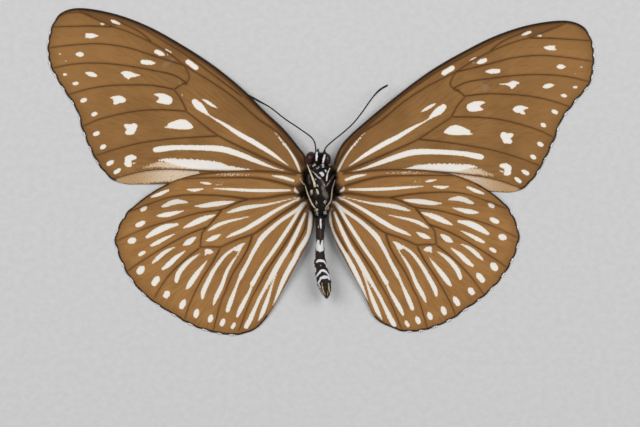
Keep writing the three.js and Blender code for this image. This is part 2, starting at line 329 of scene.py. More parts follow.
def hair_shape(roots, aims, lengths, half_width, sag=0.12):
    """Slim three-sided hairs, joined in one mesh: roots and aims as rows, bent a little to the ground."""
    side = unit(np.cross(aims, OFF_UP))
    other = np.cross(side, aims)
    reach = aims * np.reshape(lengths, (-1, 1))
    drop = UP * (sag * np.reshape(lengths, (-1, 1)))
    rings = []
    for share, slim in ((0, 1), (0.5, 0.75)):
        middle = roots + share * reach + (share * (1 - share)) * drop
        for turn in np.arange(3) * 2 * math.pi / 3:
            spoke = side * math.cos(turn) + other * math.sin(turn)
            rings.append(middle + half_width * slim * spoke)
    verts = np.stack(rings + [roots + reach - 0.3 * drop], axis=1)
    base = VERTS_A_HAIR * np.arange(len(roots))[:, None]
    faces = []
    for k in range(3):
        n = (k + 1) % 3
        faces += (base + (k, n, 3 + n, 3 + k)).tolist()
        faces += (base + (3 + k, 3 + n, 6)).tolist()
    faces += (base + (2, 1, 0)).tolist()
    mesh = bpy.data.meshes.new("hairs")
    mesh.from_pydata(verts.reshape(-1, 3).tolist(), [], faces)
    mesh.shade_smooth()
    return mesh


def evenly(places, normals):
    return np.ones(len(places))


def hair_coat(bed, tufts, seed, count, lift, comb, stray, lengths, half_width,
              wanted=evenly, longest=None, all_round=False):
    """Hairs rooted at random in a bed's vertices and combed one way. Those over a tuft take its colour."""
    draw = np.random.default_rng(seed)
    places, normals = spots_of(bed), spots_of(bed, "normal")
    weight = np.clip(wanted(places, normals), 0, None)
    chosen = draw.choice(len(places), count, p=weight / weight.sum())
    roots = places[chosen] + draw.normal(0, ROOT_JITTER, (count, 3))
    normals = normals[chosen]
    aims = unit(normals * lift + np.array(comb) + draw.normal(0, stray, (count, 3)))
    reach = draw.uniform(*lengths, count) * (longest(normals) if longest else 1)
    coat = hair_shape(roots, aims, reach, half_width)
    up = np.ones(count) if all_round else normals[:, 2]
    numbers = tufts_at(roots[:, :2], up, *tufts)
    paint_by(coat, **{name: np.repeat(value, VERTS_A_HAIR) for name, value in numbers.items()})
    return coat


def fur_wanted(places, normals):
    """Dense on the flanks and in the tufts, thin elsewhere."""
    in_tuft = (outside_of(places[:, :2], THORAX_WHITE + THORAX_CREAM) < 0) & (normals[:, 2] > 0)
    return 0.1 + np.abs(normals[:, 0]) ** 1.5 + 0.6 * (normals[:, 2] < -0.2) + 1.2 * in_tuft


def fur_length(normals):
    return FLANK_HAIR + (BREAST_HAIR - FLANK_HAIR) * np.clip(normals[:, 2], 0, 1)


fur = hair_coat(
    barrel(sides=72, steps=12), THORAX_TUFTS, seed=11, count=5200, lift=0.35, comb=(0, -1, 0), stray=0.22,
    lengths=(0.6, 1), half_width=0.016, wanted=fur_wanted, longest=fur_length,
)
place_piece("thorax_fur", fur, [FUR])


# Abdomen
# A slim tube of overlapping horny rings under flat dark scales, thin where it is dried and shrunk.
# White scales make the cross bands, and the tip ends in two tan-streaked claspers.
ABDOMEN = [
    (0.03, -4.75, 3, 0.5, 0.8), (0.05, -5.5, 3, 0.68, 1), (0.05, -6.2, 3, 0.82, 1.2),
    (0, -8.8, 2.9, 0.66, 1.05), (0, -11, 2.8, 0.76, 1.15), (0.05, -13, 2.7, 1, 1.3),
    (0.4, -15, 2.6, 1.14, 1.35), (0.75, -16.5, 2.5, 1.12, 1.25), (1.05, -17.9, 2.45, 0.72, 0.85),
    (1.15, -18.85, 2.4, 0.12, 0.2),
]
RINGS = 9
RING_FLARE = 0.09
BAND_WHITE = [
    [(0.1, -5.7, 0.1), (0.12, -6.6, 0.15), (0.15, -7.2, 0.08)], [(-0.28, -6.8, 0.05), (-0.27, -7.1, 0.05)],
    [(-0.28, -9.3, 0.19), (-0.38, -10, 0.3), (-0.36, -10.7, 0.28)],
    [(0.4, -9.3, 0.16), (0.34, -10, 0.26), (0.34, -10.75, 0.26)],
    [(0, -10.05, 0.1), (0, -10.5, 0.3), (0.02, -10.9, 0.24)],
    [(-0.9, -11.75, 0.12), (-0.87, -12.25, 0.11)], [(0.93, -11.6, 0.11), (0.96, -12.15, 0.1)],
    [(-0.56, -12.8, 0.13), (-0.25, -12.57, 0.19), (0.5, -12.6, 0.19)],
    [(0.6, -12.65, 0.14), (1, -13.15, 0.1), (1.1, -13.7, 0.08)], [(-0.78, -13.8, 0.11), (-0.72, -14.4, 0.11)],
    [(-0.72, -15.35, 0.1), (-0.25, -14.77, 0.14), (0.15, -14.3, 0.17), (0.5, -14.15, 0.18),
     (0.95, -14.4, 0.16), (1.35, -14.85, 0.13), (1.6, -15.3, 0.09)],
    [(-0.3, -16.3, 0.13), (-0.11, -15.96, 0.15), (0.2, -15.45, 0.19), (0.75, -15.3, 0.28),
     (1.25, -15.3, 0.19), (1.6, -15.7, 0.11)],
    [(-0.28, -16.35, 0.1), (0.06, -16.95, 0.09)], [(0.12, -13.35, 0.05), (0.14, -13.42, 0.05)],
]
BAND_CREAM = [
    [(0.33, -16.3, 0.06), (0.46, -17.3, 0.1), (0.88, -18.3, 0.07)],
    [(-0.15, -16.9, 0.05), (0.55, -18.1, 0.06)],
    [(1.43, -16.3, 0.09), (1.5, -17.2, 0.12), (1.6, -17.8, 0.1)], [(1.3, -17.6, 0.06), (1.25, -18.4, 0.06)],
]
BAND_GREY = [[(0.1, -7.5, 0.12), (0.1, -8.8, 0.16)], [(0.85, -16.7, 0.08), (1, -17.7, 0.1)]]


def ring_edges(along):
    """Each plate flares towards its rear edge and drops back onto the next."""
    share = (along * RINGS) % 1
    return 1 + RING_FLARE * (share ** 2 - 0.5)


CLASPER_TAN = (0.55, 0.44, 0.26)
BELLY_BROWN = (0.075, 0.04, 0.03)
SCALE_BLACK = (0.0085, 0.006, 0.006)
SCALE_BROWN = (0.03, 0.019, 0.015)
SCALED = tufted_finish(
    "abdomen_scales", SCALE_BLACK, SCALE_BROWN, shine=0.15, roughest=0.8, cream=CLASPER_TAN, dust=BELLY_BROWN,
)
BANDS = (BAND_WHITE, BAND_CREAM, BAND_GREY)

bm = bmesh.new()
rod(bm, ABDOMEN, sides=64, steps=24, ends=0.02, swell=ring_edges)
abdomen = shape_of(bm)
skin = spots_of(abdomen)
paint_by(abdomen, **tufts_at(skin[:, :2], np.ones(len(skin)), *BANDS))
scruff = hair_coat(
    abdomen, BANDS, seed=23, count=1800, lift=0.18, comb=(0.06, -1, 0), stray=0.12,
    lengths=(0.12, 0.26), half_width=0.02, all_round=True,
)
place_piece("abdomen_rings", abdomen, [SCALED], ["abdomen"])
place_piece("abdomen_scruff", scruff, [SCALED])


# Head
# A small black ball between the eyes, furred, with short white tufts beside the palps.
# It is joined to the thorax by a soft neck that the fur hides.
HEAD_CENTRE = (-0.15, 4.25, 3.3)
HEAD_RADII = (1.4, 1.2, 1.4)
HEAD_SKIN = 0.94
NECK = [(-0.1, 2.4, 3.2, 1.9, 1.7), (-0.2, 3.2, 3.2, 1.8, 1.6), (-0.15, 4.2, 3.3, 1.2, 1.2)]
HEAD_WHITE = [
    [(0.34, 3.22, 0.14), (0.48, 3, 0.19)], [(0.5, 2.85, 0.08), (0.42, 2.72, 0.06)],
    [(1.45, 3.5, 0.09), (1.55, 3.3, 0.12)], [(-1.15, 3.1, 0.1), (-0.75, 3.45, 0.13)],
    [(-0.8, 2.5, 0.1), (-0.25, 2.85, 0.1)],
]
HEAD_GREY = [
    [(-0.55, 3.3, 0.06), (-0.3, 3.6, 0.08)], [(-1.8, 3.3, 0.09), (-1.6, 3.15, 0.1)],
]
HEAD_TUFTS = (HEAD_WHITE, [], HEAD_GREY)


def ball(bm, centre, radii, finer=4):
    made = bmesh.ops.create_icosphere(bm, subdivisions=finer, radius=1)["verts"]
    bmesh.ops.scale(bm, vec=radii, verts=made)
    bmesh.ops.translate(bm, vec=centre, verts=made)


def fuzz_wanted(places, normals):
    return 0.2 + np.clip(normals[:, 2], 0, 1)


bm = bmesh.new()
ball(bm, HEAD_CENTRE, [radius * HEAD_SKIN for radius in HEAD_RADII])
rod(bm, NECK, sides=32, steps=8)
head = shape_of(bm)
skin, facing = spots_of(head), spots_of(head, "normal")
paint_by(head, **tufts_at(skin[:, :2], facing[:, 2], *HEAD_TUFTS))
fuzz = hair_coat(
    head, HEAD_TUFTS, seed=31, count=1500, lift=1, comb=(0, 0.25, 0), stray=0.35,
    lengths=(0.15, 0.42), half_width=0.017, wanted=fuzz_wanted,
)
place_piece("head_shell", head, [PLATES], ["head"])
place_piece("head_fuzz", fuzz, [FUR])


# Eyes
# Two large compound eyes, smooth shining domes of dark wine-brown, packed with tiny six-sided facets.
# They sit tight against the sides of the head.
EYES = {
    "left": ((1.08, 4.25, 3.45), (0.74, 1.04, 1.05)),
    "right": ((-1.47, 4.4, 3.45), (0.93, 1.14, 1.15)),
}
EYE_WINE = (0.06, 0.008, 0.01)
EYE_DARK = (0.008, 0.0035, 0.0035)
FACET_SCALE = 11000

EYE_SHELL, wire = new_finish("eye_shell", Specular_IOR_Level=0.3, Coat_Weight=0.15, Coat_Roughness=0.1)
where = wire.node("TexCoord", output="Object")
facets = wire.node("TexVoronoi", (), {"Vector": where, "Scale": FACET_SCALE, "Randomness": 0.25})
patch = wire.noise(700, 3).within(0.5, 0.18)
wire.mix(patch * 0.8, EYE_WINE, EYE_DARK).into("Base Color")
(0.18 + 0.2 * wire.noise(1500, 2)).into("Roughness")
wire.bump(1 - facets, 0.012).into("Normal")
for side, (centre, radii) in EYES.items():
    bm = bmesh.new()
    ball(bm, centre, radii, finer=5)
    place_piece(f"eye_dome_{side}", shape_of(bm), [EYE_SHELL], [f"eye_{side}"])


# Palps
# The two mouth feelers, slim three-jointed rods held up in front of the head.
# They are black with bristly hair, and a stripe of white scales runs down each.
PALPS = {
    "left": [(0.45, 3.1, 4.85, 0.18, 0.2), (0.6, 3.9, 5.3, 0.3, 0.28), (0.8, 4.9, 5.15, 0.27, 0.26),
             (0.75, 5.7, 4.6, 0.1, 0.1)],
    "right": [(-0.5, 3.2, 4.85, 0.18, 0.2), (-0.6, 4.2, 5.3, 0.3, 0.28), (-0.5, 5.2, 5.1, 0.27, 0.26),
              (-0.28, 5.95, 4.55, 0.1, 0.1)],
}
PALP_STRIPES = {
    "left": [[(0.5, 3.75, 0.11), (0.62, 4.3, 0.17), (0.78, 4.9, 0.12)],
             [(0.42, 3.1, 0.2), (0.45, 3.3, 0.18)]],
    "right": [[(-0.61, 4.05, 0.1), (-0.56, 4.6, 0.17), (-0.5, 5.35, 0.12)]],
}
PALP_JOINTS = 3
PALP_PINCH = 0.12


def palp_joints(along):
    """A slight pinch at every joint."""
    return 1 - PALP_PINCH * np.abs(np.cos(math.pi * PALP_JOINTS * along)) ** 8


for side, stations in PALPS.items():
    bm = bmesh.new()
    rod(bm, stations, sides=24, steps=14, ends=0.08, swell=palp_joints)
    palp = shape_of(bm)
    skin, facing = spots_of(palp), spots_of(palp, "normal")
    stripes = (PALP_STRIPES[side], [], [])
    paint_by(palp, **tufts_at(skin[:, :2], facing[:, 2], *stripes))
    bristle = hair_coat(
        palp, stripes, seed=41, count=260, lift=0.7, comb=(0, 0.8, 0.1), stray=0.2,
        lengths=(0.12, 0.34), half_width=0.014,
    )
    place_piece(f"palp_rod_{side}", palp, [PLATES], [f"palp_{side}"])
    place_piece(f"palp_bristle_{side}", bristle, [FUR])


# Antennae
# Two fine horny feelers rooted between the eyes, ringed all along and swelling to a slim club at the tip.
# They are nearly black, with browner patches, and each starts from a small round base.
ANTENNAE = {
    "left": [(0.45, 5.1, 3.3), (1.06, 6.3, 3.4), (2.3, 7.45, 3.35), (3.5, 8.4, 3.3), (5.3, 10, 3.2),
             (6.8, 11.8, 3), (8.8, 14.6, 2.7), (9.95, 15.8, 2.5), (11.3, 16.6, 2.4)],
    "right": [(-0.7, 5.1, 3.3), (-0.8, 6.7, 3.4), (-1.27, 7.7, 3.4), (-3.5, 9.4, 3.2), (-5.8, 10.95, 3),
              (-8.33, 12.9, 2.7), (-10.3, 14, 2.5), (-11.9, 14.9, 2.4)],
}
SHAFT = 0.12
CLUB = 0.18
CLUB_STARTS = 0.72
CLUB_RUN = 0.16
ANTENNA_BASE = (0.22, 0.22, 0.2)
ANTENNA_RINGS = 44
RING_PINCH = 0.1
HORN_DARK = (0.012, 0.0085, 0.007)
HORN_BROWN = (0.035, 0.02, 0.012)


def satin(wire, smoothest, grain, depth):
    """A dull shine that varies in patches, over a fine grain."""
    (smoothest + 0.3 * wire.noise(2600, 2)).into("Roughness")
    wire.bump(wire.noise(grain, 2), depth).into("Normal")


ANTENNA_HORN, wire = new_finish("antenna_horn", Specular_IOR_Level=0.25)
wire.mix(wire.noise(1800, 3).within(0.42, 0.15) * 0.7, HORN_DARK, HORN_BROWN).into("Base Color")
satin(wire, smoothest=0.4, grain=9000, depth=0.02)


def antenna_rings(along):
    """Ringed all along, thin to seven tenths of the length and clubbed past that."""
    club = np.clip((along - CLUB_STARTS) / CLUB_RUN, 0, 1)
    swell = 1 + (CLUB / SHAFT - 1) * club ** 2 * (3 - 2 * club)
    return swell * (1 - RING_PINCH * np.abs(np.cos(math.pi * ANTENNA_RINGS * along)) ** 4)


for side, line in ANTENNAE.items():
    bm = bmesh.new()
    stations = [(*point, SHAFT, SHAFT) for point in line]
    rod(bm, stations, sides=12, steps=40, ends=0.02, swell=antenna_rings)
    ball(bm, line[0], ANTENNA_BASE, finer=3)
    place_piece(f"feeler_{side}", shape_of(bm), [ANTENNA_HORN], [f"antenna_{side}"])


# Legs
# Six thin jointed legs, folded forwards over the breast and dried stiff, of smooth horn with tiny spines.
# The front pair is small. One middle leg shows its pale inner face, and the rest are dark with a pale line.
# Each line's colour comes with how far round the leg it reaches.
LEGS = {
    "foreleg_left": [(1.08, 0.6, 6, 0.15), (1.15, 1.3, 6, 0.16), (1.3, 2, 5.6, 0.14), (1.68, 2.85, 5, 0.1)],
    "foreleg_right": [(-0.2, 1.1, 6.3, 0.15), (-0.75, 1.75, 6.1, 0.15), (-1.55, 2.42, 5.35, 0.09)],
    "midleg_left": [(1.05, -0.25, 6, 0.18), (1.65, 0.65, 5.6, 0.17), (2.4, 1.7, 4.7, 0.12)],
    "midleg_right": [(-0.8, -0.4, 6.3, 0.2), (-0.95, 0.3, 6.4, 0.18), (-1.5, 1.8, 5.75, 0.12),
                     (-2.15, 3.4, 5, 0.06)],
    "hindleg_left": [(0.95, -3.8, 5, 0.18), (1.75, -2.7, 4.8, 0.17), (2.05, -0.6, 4.65, 0.14),
                     (2.52, 0.9, 4.3, 0.1)],
    "hindleg_right": [(-0.8, -3.9, 5, 0.18), (-1.35, -3.1, 5, 0.17), (-1.95, -1.7, 4.6, 0.15),
                      (-2.5, 0, 4.2, 0.1)],
}
LEG_LINES = {
    "midleg_right": ((0.68, 0.58, 0.4), 1.0),
    "hindleg_left": ((0.36, 0.28, 0.22), 0.38),
    "hindleg_right": ((0.5, 0.42, 0.34), 0.42),
    "foreleg_left": ((0.66, 0.64, 0.62), 0.5),
    "foreleg_right": ((0.5, 0.47, 0.45), 0.42),
}
PLAIN_LEG_LINE = ((0.23, 0.185, 0.145), 0.3)
LEG_JOINTS = 4
KNUCKLE = 0.18
SPINES_A_LEG = 90
SPINE_SEED = 51
SPINE_LENGTHS = (0.08, 0.16)
SPINE_HALF_WIDTH = 0.012


def leg_joints(along):
    """Knuckles at the joints, and a slight waist in every length between them."""
    return 1 + KNUCKLE * np.abs(np.cos(math.pi * LEG_JOINTS * along)) ** 6


def leg_finish(name, line_colour, reach):
    """Dark horn with a pale line along the top, as wide as the reach says."""
    material, wire = new_finish(name, Specular_IOR_Level=0.25)
    dark = wire.mix(wire.noise(1500, 3).within(0.45, 0.15), HORN_BROWN, HORN_DARK)
    pale = (wire.number("turn") + wire.noise(2200, 3) * 0.3).within(reach, 0.12)
    wire.mix(pale, dark, line_colour).into("Base Color")
    satin(wire, smoothest=0.35, grain=8000, depth=0.02)
    return material


for name, line in LEGS.items():
    bm = bmesh.new()
    stations = [(*station, station[3]) for station in line]
    rod(bm, stations, sides=16, steps=16, ends=0.06, swell=leg_joints)
    leg = shape_of(bm)
    draw = np.random.default_rng(SPINE_SEED)
    chosen = draw.choice(len(leg.vertices), SPINES_A_LEG)
    roots, normals = spots_of(leg)[chosen], spots_of(leg, "normal")[chosen]
    forward = unit(np.array(line[-1][:3]) - np.array(line[0][:3]))
    lengths = draw.uniform(*SPINE_LENGTHS, SPINES_A_LEG)
    spines = hair_shape(roots, unit(normals + forward), lengths, SPINE_HALF_WIDTH)
    bm = bmesh.new()
    bm.from_mesh(leg)
    bm.from_mesh(spines)
    leg = shape_of(bm)
    paint_by(leg, turn=1 - spots_of(leg, "normal")[:, 2])
    finish = leg_finish(f"{name}_horn", *LEG_LINES.get(name, PLAIN_LEG_LINE))
    place_piece(f"{name}_horn", leg, [finish], [name])


# Forewings
# Two thin sheets of wing skin stiffened by hollow veins and shingled with brown and white scales.
# They are fixed at the front of the thorax, stand highest there and lie flat at their outer ends.
WING_THICKNESS = 0.1
WING_CELL = 0.22
CAD_HALF_THICKNESS = 0.15
FORE_HINGE = np.array((2.5, 2.5))
FORE_RISE = 2.6
FORE_REACH = 30
RIGHT_FORE_TURN = math.radians(2.7)
RIGHT_FORE_SCALE = 1.012
PLEAT = 0.09
PLEAT_WIDTH = 0.9
FORE_SHOULDERS = {
    "left": [(1.7, 2.9), (2.4, 3.5), (2.8, 4.7), (3.7, 6.55), (5.2, 8.25), (8.9, 11.5)],
    "right": [(1.7, 2.9), (2.4, 3.5), (2.7, 4.7), (3.7, 5.95), (6.2, 8.75), (10, 12.05)],
}
FORE_FRONT = [(13, 14.85), (18.3, 18.8), (23.9, 22.1), (29.4, 24.8), (35, 26.6), (40.6, 27.3), (42.8, 26.9)]
FORE_TIP = [(44.2, 26.1), (45, 24.7), (45.5, 22.8)]
FORE_MARGINS = {
    "left": [(45.6, 20.6), (44.9, 16.9), (42.5, 13.9), (40.3, 10.8), (39, 7.5), (37.1, 3.6), (35, 0.4),
             (33.6, -0.7)],
    "right": [(45.7, 20.3), (45, 17.4), (43.3, 14.6), (40.6, 10.7), (39.5, 7.7), (37.7, 3.8), (35.3, 0.4),
              (33.8, -0.7)],
}
FORE_INNER = [(31.7, -1.2), (29.4, -1.1), (26, -0.85), (15, 0.6), (3.5, 0.8), (1.7, 0.8)]
NUDGE_AT = (0, 10, 19, 26, 38, 46)
NUDGE_OUT = (0.36, 0.5, 0.65, 0.36, 0.36, 0.09)
NUDGE_UP = (0.05, -0.15, -0.2, 0, 0.08, 0.02)
FORE_VEINS = [
    [(2.5, 3.1), (3.05, 4), (4.7, 6.3), (7.1, 8.75), (10, 10.6), (14, 13.9), (18, 16.5), (22.5, 18.8),
     (25.5, 20.73), (27.1, 21.6), (29.77, 22.84), (32.83, 23.99), (34.7, 24.5), (40.3, 26.7)],
    [(34.7, 24.5), (38.5, 24.45), (42, 24.25), (45, 24.05)],
    [(12.9, 14.3), (17.4, 17.45), (21.1, 19.85), (25.8, 22.3), (28.6, 23.8), (30.4, 24.75)],
    [(28.4, 22.35), (29.39, 23.22), (30.44, 23.94), (31.68, 24.52), (33.12, 25.09), (34.4, 25.75)],
    [(2.2, 1.5), (7.6, 3.7), (12.2, 5.7), (16.5, 7.7), (19.9, 10), (22.1, 11.4)],
    [(21.9, 11.4), (22.9, 13.2), (24.2, 14.75)],
    [(24.2, 14.75), (23, 15.7), (22.2, 16.1), (21.7, 16.8), (22, 17.8), (22.6, 18.7)],
    [(16.5, 7.6), (19.9, 7.25), (24.5, 6.6), (29.2, 5.7), (33.2, 4.5), (36.9, 3.1)],
    [(21.9, 11.35), (26.1, 11.3), (29.8, 10.95), (33.8, 10), (36.9, 8.95), (39.2, 7.8)],
    [(24.1, 14.8), (27.6, 15.2), (31.6, 15.1), (35.3, 14.75), (38.7, 14), (42, 12.9)],
    [(22.2, 16.1), (24.3, 17.1), (28.3, 17.75), (33.8, 18.35), (38.4, 18.35), (42.1, 17.9), (44.9, 17.2)],
    [(22.6, 18.8), (24.6, 19.3), (28.3, 20.2), (32.2, 21.2), (36.9, 21.6), (41.5, 21.2), (45.5, 20.6)],
]
FORE_INNER_VEINS = {
    "left": [[(3.2, 1.4), (12, 2.3), (19.9, 2.2), (24.8, 1.7), (29.2, 0.93), (33.7, -0.55)]],
    "right": [[(3.2, 1.2), (12, 1.8), (17, 1.78), (20, 1.75), (24.8, 1.6), (29.2, 0.93), (33.7, -0.55)],
              [(38.3, 26), (39.5, 26.45), (41.2, 26.6), (43.2, 26.3)]],
}
FORE_LINES = [
    [(2.7, 3.2, 0.14), (5, 6.9, 0.14), (8, 10, 0.13), (11.7, 13.2, 0.1), (14.5, 15.6, 0.06),
     (19, 18.9, 0.02)],
]
FORE_FOLDS = [
    [(25, 13), (31, 13.2), (36.5, 12.1), (40.8, 10.6)], [(25.6, 8.9), (31, 8.3), (35.6, 6.9), (38.2, 5.3)],
    [(28, 4.3), (31.3, 3), (35.8, 1.4)], [(29, 16.9), (35, 16.9), (39, 16.5), (43.4, 15)],
    [(31, 19.8), (37, 19.9), (45.2, 18.8)], [(33, 22.9), (38, 23), (45.2, 22.4)],
    [(6, 4.6), (14, 10.2), (20, 14.6)], [(7.7, 8.1), (12.9, 12.4), (18.2, 16.8)],
    [(9, 7.4), (15, 11.9), (20.5, 15.6)],
]
FORE_STREAKS = [
    [(4.7, 3.05, 0.05), (6.1, 4, 0.18), (7.7, 5.1, 0.32), (10.7, 6.85, 0.41), (12.9, 7.97, 0.38),
     (15.1, 9.3, 0.29), (16.6, 10.12, 0.19), (17.5, 10.6, 0.12), (18.1, 10.97, 0.13), (18.8, 11.6, 0.38),
     (19.8, 12.35, 0.64), (20.6, 13, 0.48)],
    [(16.7, 12.12, 0.05), (17.4, 12.5, 0.2), (18.1, 12.9, 0.27), (18.75, 13.3, 0.21), (19.25, 13.5, 0.08)],
    [(5.5, 2.3, 0.06), (7.2, 2.7, 0.15), (10, 3.7, 0.35), (12.8, 4.7, 0.45), (15.6, 5.45, 0.5),
     (19.7, 5.5, 0.42), (23.9, 5.2, 0.42), (26.4, 4.75, 0.48), (26.9, 4.65, 0.42)],
    [(30, 16.8, 0.08), (31, 16.82, 0.15), (31.6, 16.77, 0.35), (32.2, 16.8, 0.56)],
    [(32.3, 17, 0.4), (33.1, 17, 0.14)], [(32, 16.6, 0.45), (31.95, 16.2, 0.2)],
    [(37.1, 16.3, 0.1), (37.6, 16.42, 0.34), (38.2, 16.55, 0.38), (39, 16.7, 0.12)],
    [(20.7, 8.75, 0.12), (21.5, 8.98, 0.58), (22.5, 9.15, 0.85), (23.6, 9, 0.7), (24.6, 8.8, 0.45)],
    [(24.6, 8.55, 0.25), (25.5, 8.5, 0.08)],
    [(25.15, 12.95, 0.72), (25.9, 13.1, 0.85)], [(25.9, 13.5, 0.48), (27, 13.7, 0.26), (27.5, 13.72, 0.08)],
    [(25.9, 12.75, 0.48), (26.8, 12.62, 0.24), (27.15, 12.6, 0.08)],
    [(32.4, 12.6, 0.3), (33, 12.6, 0.6), (33.5, 12.75, 0.5), (34.3, 12.83, 0.22), (34.7, 12.83, 0.08)],
    [(33.4, 12.35, 0.4), (33.9, 12, 0.26), (34.15, 11.9, 0.1)],
    [(30.6, 8.3, 0.55), (31.1, 7.9, 0.75), (31.9, 8.35, 0.3), (32.2, 8.4, 0.1)],
    [(31, 7.5, 0.6), (31.7, 7.25, 0.36)],
    [(30.2, 3.2, 0.3), (30.9, 3.15, 0.5), (31.5, 2.9, 0.42)], [(29.95, 2.4, 0.1), (30.5, 2.2, 0.13)],
    [(31.2, 2.7, 0.5), (31.35, 2.2, 0.58), (30.9, 1.85, 0.25)],
    [(37.2, 22.9, 0.06), (37.8, 22.88, 0.28), (38.4, 22.83, 0.42), (38.8, 22.85, 0.36)],
    [(38.8, 23.05, 0.2), (39.2, 23.15, 0.1)], [(38.8, 22.65, 0.22), (39.35, 22.55, 0.1)],
    [(39.4, 19.75, 0.05), (40.1, 19.72, 0.42), (40.95, 19.7, 0.05)],
    [(33.65, 25, 0.12), (34.3, 25.25, 0.27), (34.9, 25.45, 0.22), (35.2, 25.55, 0.12)],
    [(20.65, 18.65, 0.42), (22.05, 19.5, 0.42)],
    [(2.9, 2.1, 0.12), (3.37, 3.27, 0.22), (4.05, 4.54, 0.2), (5.07, 5.98, 0.14), (5.9, 6.95, 0.06)],
]
FORE_SPOTS = [
    (42.5, 16.3, 0.4, 0.22, 0), (40.6, 14.9, 0.58, 0.3, -10), (39.1, 12.2, 0.62, 0.38, -25),
    (37.2, 10, 0.55, 0.35, -25), (36.7, 6.8, 0.62, 0.38, -25), (35.5, 4.7, 0.6, 0.38, -30),
    (34.2, 2.12, 0.75, 0.38, -30), (32.95, 0.85, 0.78, 0.35, -38), (43.55, 19.63, 0.25, 0.13, 0),
    (42.5, 18.5, 0.2, 0.07, 0), (28.75, 18.95, 1.3, 0.42, 3), (26.95, 20.6, 0.95, 0.42, 20),
    (36.56, 24.88, 0.4, 0.19, 0), (25.44, 21, 0.7, 0.14, 24), (25.6, 20.42, 0.17, 0.13, 20),
]
SHARED_NOTCHES = [
    [(32.5, 7.85, 0.2), (31.8, 7.8, 0.08)], [(20.4, 7.75, 0.5), (26, 7.75, 0.5)],
    [(29.7, 2.62, 0.12), (30.6, 2.6, 0.05)], [(32.3, 2.3, 0.12), (31.8, 2.35, 0.05)],
]
FORE_NOTCHES = {
    "left": [[(27.7, 13.2, 0.2), (26.7, 13.2, 0.1)], [(34.7, 12.5, 0.16), (33.9, 12.5, 0.06)]],
    "right": [[(27.7, 13.2, 0.16), (26.8, 13.2, 0.07)]],
}
FORE_FILLS = {
    "left": [],
    "right": [[(30.1, 16.8, 0.08), (31, 16.75, 0.33), (31.8, 16.8, 0.5), (32.6, 17, 0.35)],
              [(33.5, 12.4, 0.4), (33.95, 12.3, 0.25)], [(38.6, 22.85, 0.35), (39.1, 22.85, 0.28)]],
}
FORE_CREAM = [
    [(10.4, 2.25, 0.05), (14.3, 2.35, 0.4), (16.2, 2.6, 0.7), (18.1, 2.65, 0.85), (20.7, 2.75, 0.8),
     (23.3, 2.9, 0.55), (25, 3.1, 0.3), (26.1, 2.98, 0.15)],
    [(5.07, 5.98, 0.17), (6.1, 7.18, 0.14), (7.45, 8.8, 0.05)],
]
FORE_TEARS = {
    "left": [[(22.3, 15.9, 0.04), (22.75, 15.85, 0.1), (23.05, 15.7, 0.14)]],
    "right": [[(22.05, 15.95, 0.08), (22.4, 15.85, 0.14)]],
}
FORE_SCARS = {
    "left": [[(23.28, 15.8, 0.05), (23.34, 15.8, 0.05)], [(23.18, 15.5, 0.05), (23.24, 15.48, 0.05)]],
    "right": [[(23.1, 15.85, 0.06), (23.25, 15.8, 0.06)], [(22.9, 14.9, 0.03), (22.75, 13.7, 0.04)]],
}
FORE_SMUDGES = {
    "left": [[(26.9, 16.7, 0.2), (27.8, 16.3, 0.35), (27.3, 15.9, 0.2)]],
    "right": [[(25, 19.7, 0.3), (26.4, 18.7, 0.3)]],
}
FORE_BUFF = [
    [(20, 1.1, 0.8), (25, 0.6, 1), (29.5, -0.1, 0.95), (32.5, -0.7, 0.6)],
    [(19.5, 2.35, 0.3), (21.5, 2.25, 0.5), (23.9, 2.3, 0.5), (25.8, 2.3, 0.5), (27.3, 2, 0.3),
     (28.8, 1.6, 0.1)],
]
FORE_BAND = [
    [(3.7, 6.4, 0.4), (5.2, 8.2, 0.5), (8.9, 11.5, 0.55), (13, 14.85, 0.62), (18.3, 18.8, 0.7),
     (23.9, 22.1, 0.8), (27, 23.75, 0.64), (29.4, 24.8, 0.7), (31.7, 25.65, 0.95), (34, 26.35, 0.9)],
    [(34.9, 25.6, 0.9), (37, 26.05, 0.8), (38.5, 26.45, 0.68), (40.3, 26.9, 0.38), (41.2, 27.1, 0.15)],
]
FORE_GROUND = (0.25, 0.121, 0.037)
FORE_GOLD = (0.35, 0.174, 0.055)
WING_DARK = (0.145, 0.064, 0.017)
VEIN_BROWN = (0.088, 0.036, 0.009)
VEIN_TAN = (0.13, 0.056, 0.014)
UPPER_GOLD = (0.16, 0.085, 0.036)
UPPER_DARK = (0.05, 0.026, 0.013)
UPPER_SHRINK = 0.08
# The dark of the margins, front edge and fringe, also used for the painted shade at the wing roots.
MARGIN_AND_SHADE_DARK = (0.022, 0.0105, 0.0055)
RIB_DARK = (0.04, 0.019, 0.009)
SCALE_WHITE = (0.84, 0.805, 0.755)
SCALE_CREAM = (0.8, 0.7, 0.55)
BUFF_PALE = (0.78, 0.63, 0.47)
BUFF_GOLD = (0.5, 0.32, 0.165)
BUFF_TURNS = 25
TIP_STARTS = 36
FRONT_DARKENS = 12
SMUDGE_GREY = (0.3, 0.27, 0.24)
FLECK_WHITE = (0.95, 0.95, 0.95)
EDGE_STEPS = 14
SCALLOP = 0.14
SCALLOP_RUN = 1.0
VEIN_HALF_WIDTHS = (0.12, 0.06)
FRONT_RIB = (0.2, 0.09)
FRINGE_DARK_LENGTH = 0.1
FRINGE_WHITE_LENGTH = 0.36
FRINGE_HALF_WIDTH = 0.042
FRINGE_SPACING = 0.036
FRINGE_TUCK = 0.05
FRINGE_LIFT = 0.12
FRINGE_UNEVEN = (0.7, 1)
FRINGE_SEED = 61
FLECK_HALF = 0.4
SPREAD_WIDTH = 14
BODY_PLAN = [(x, y, wide) for x, y, _, wide, _ in THORAX]


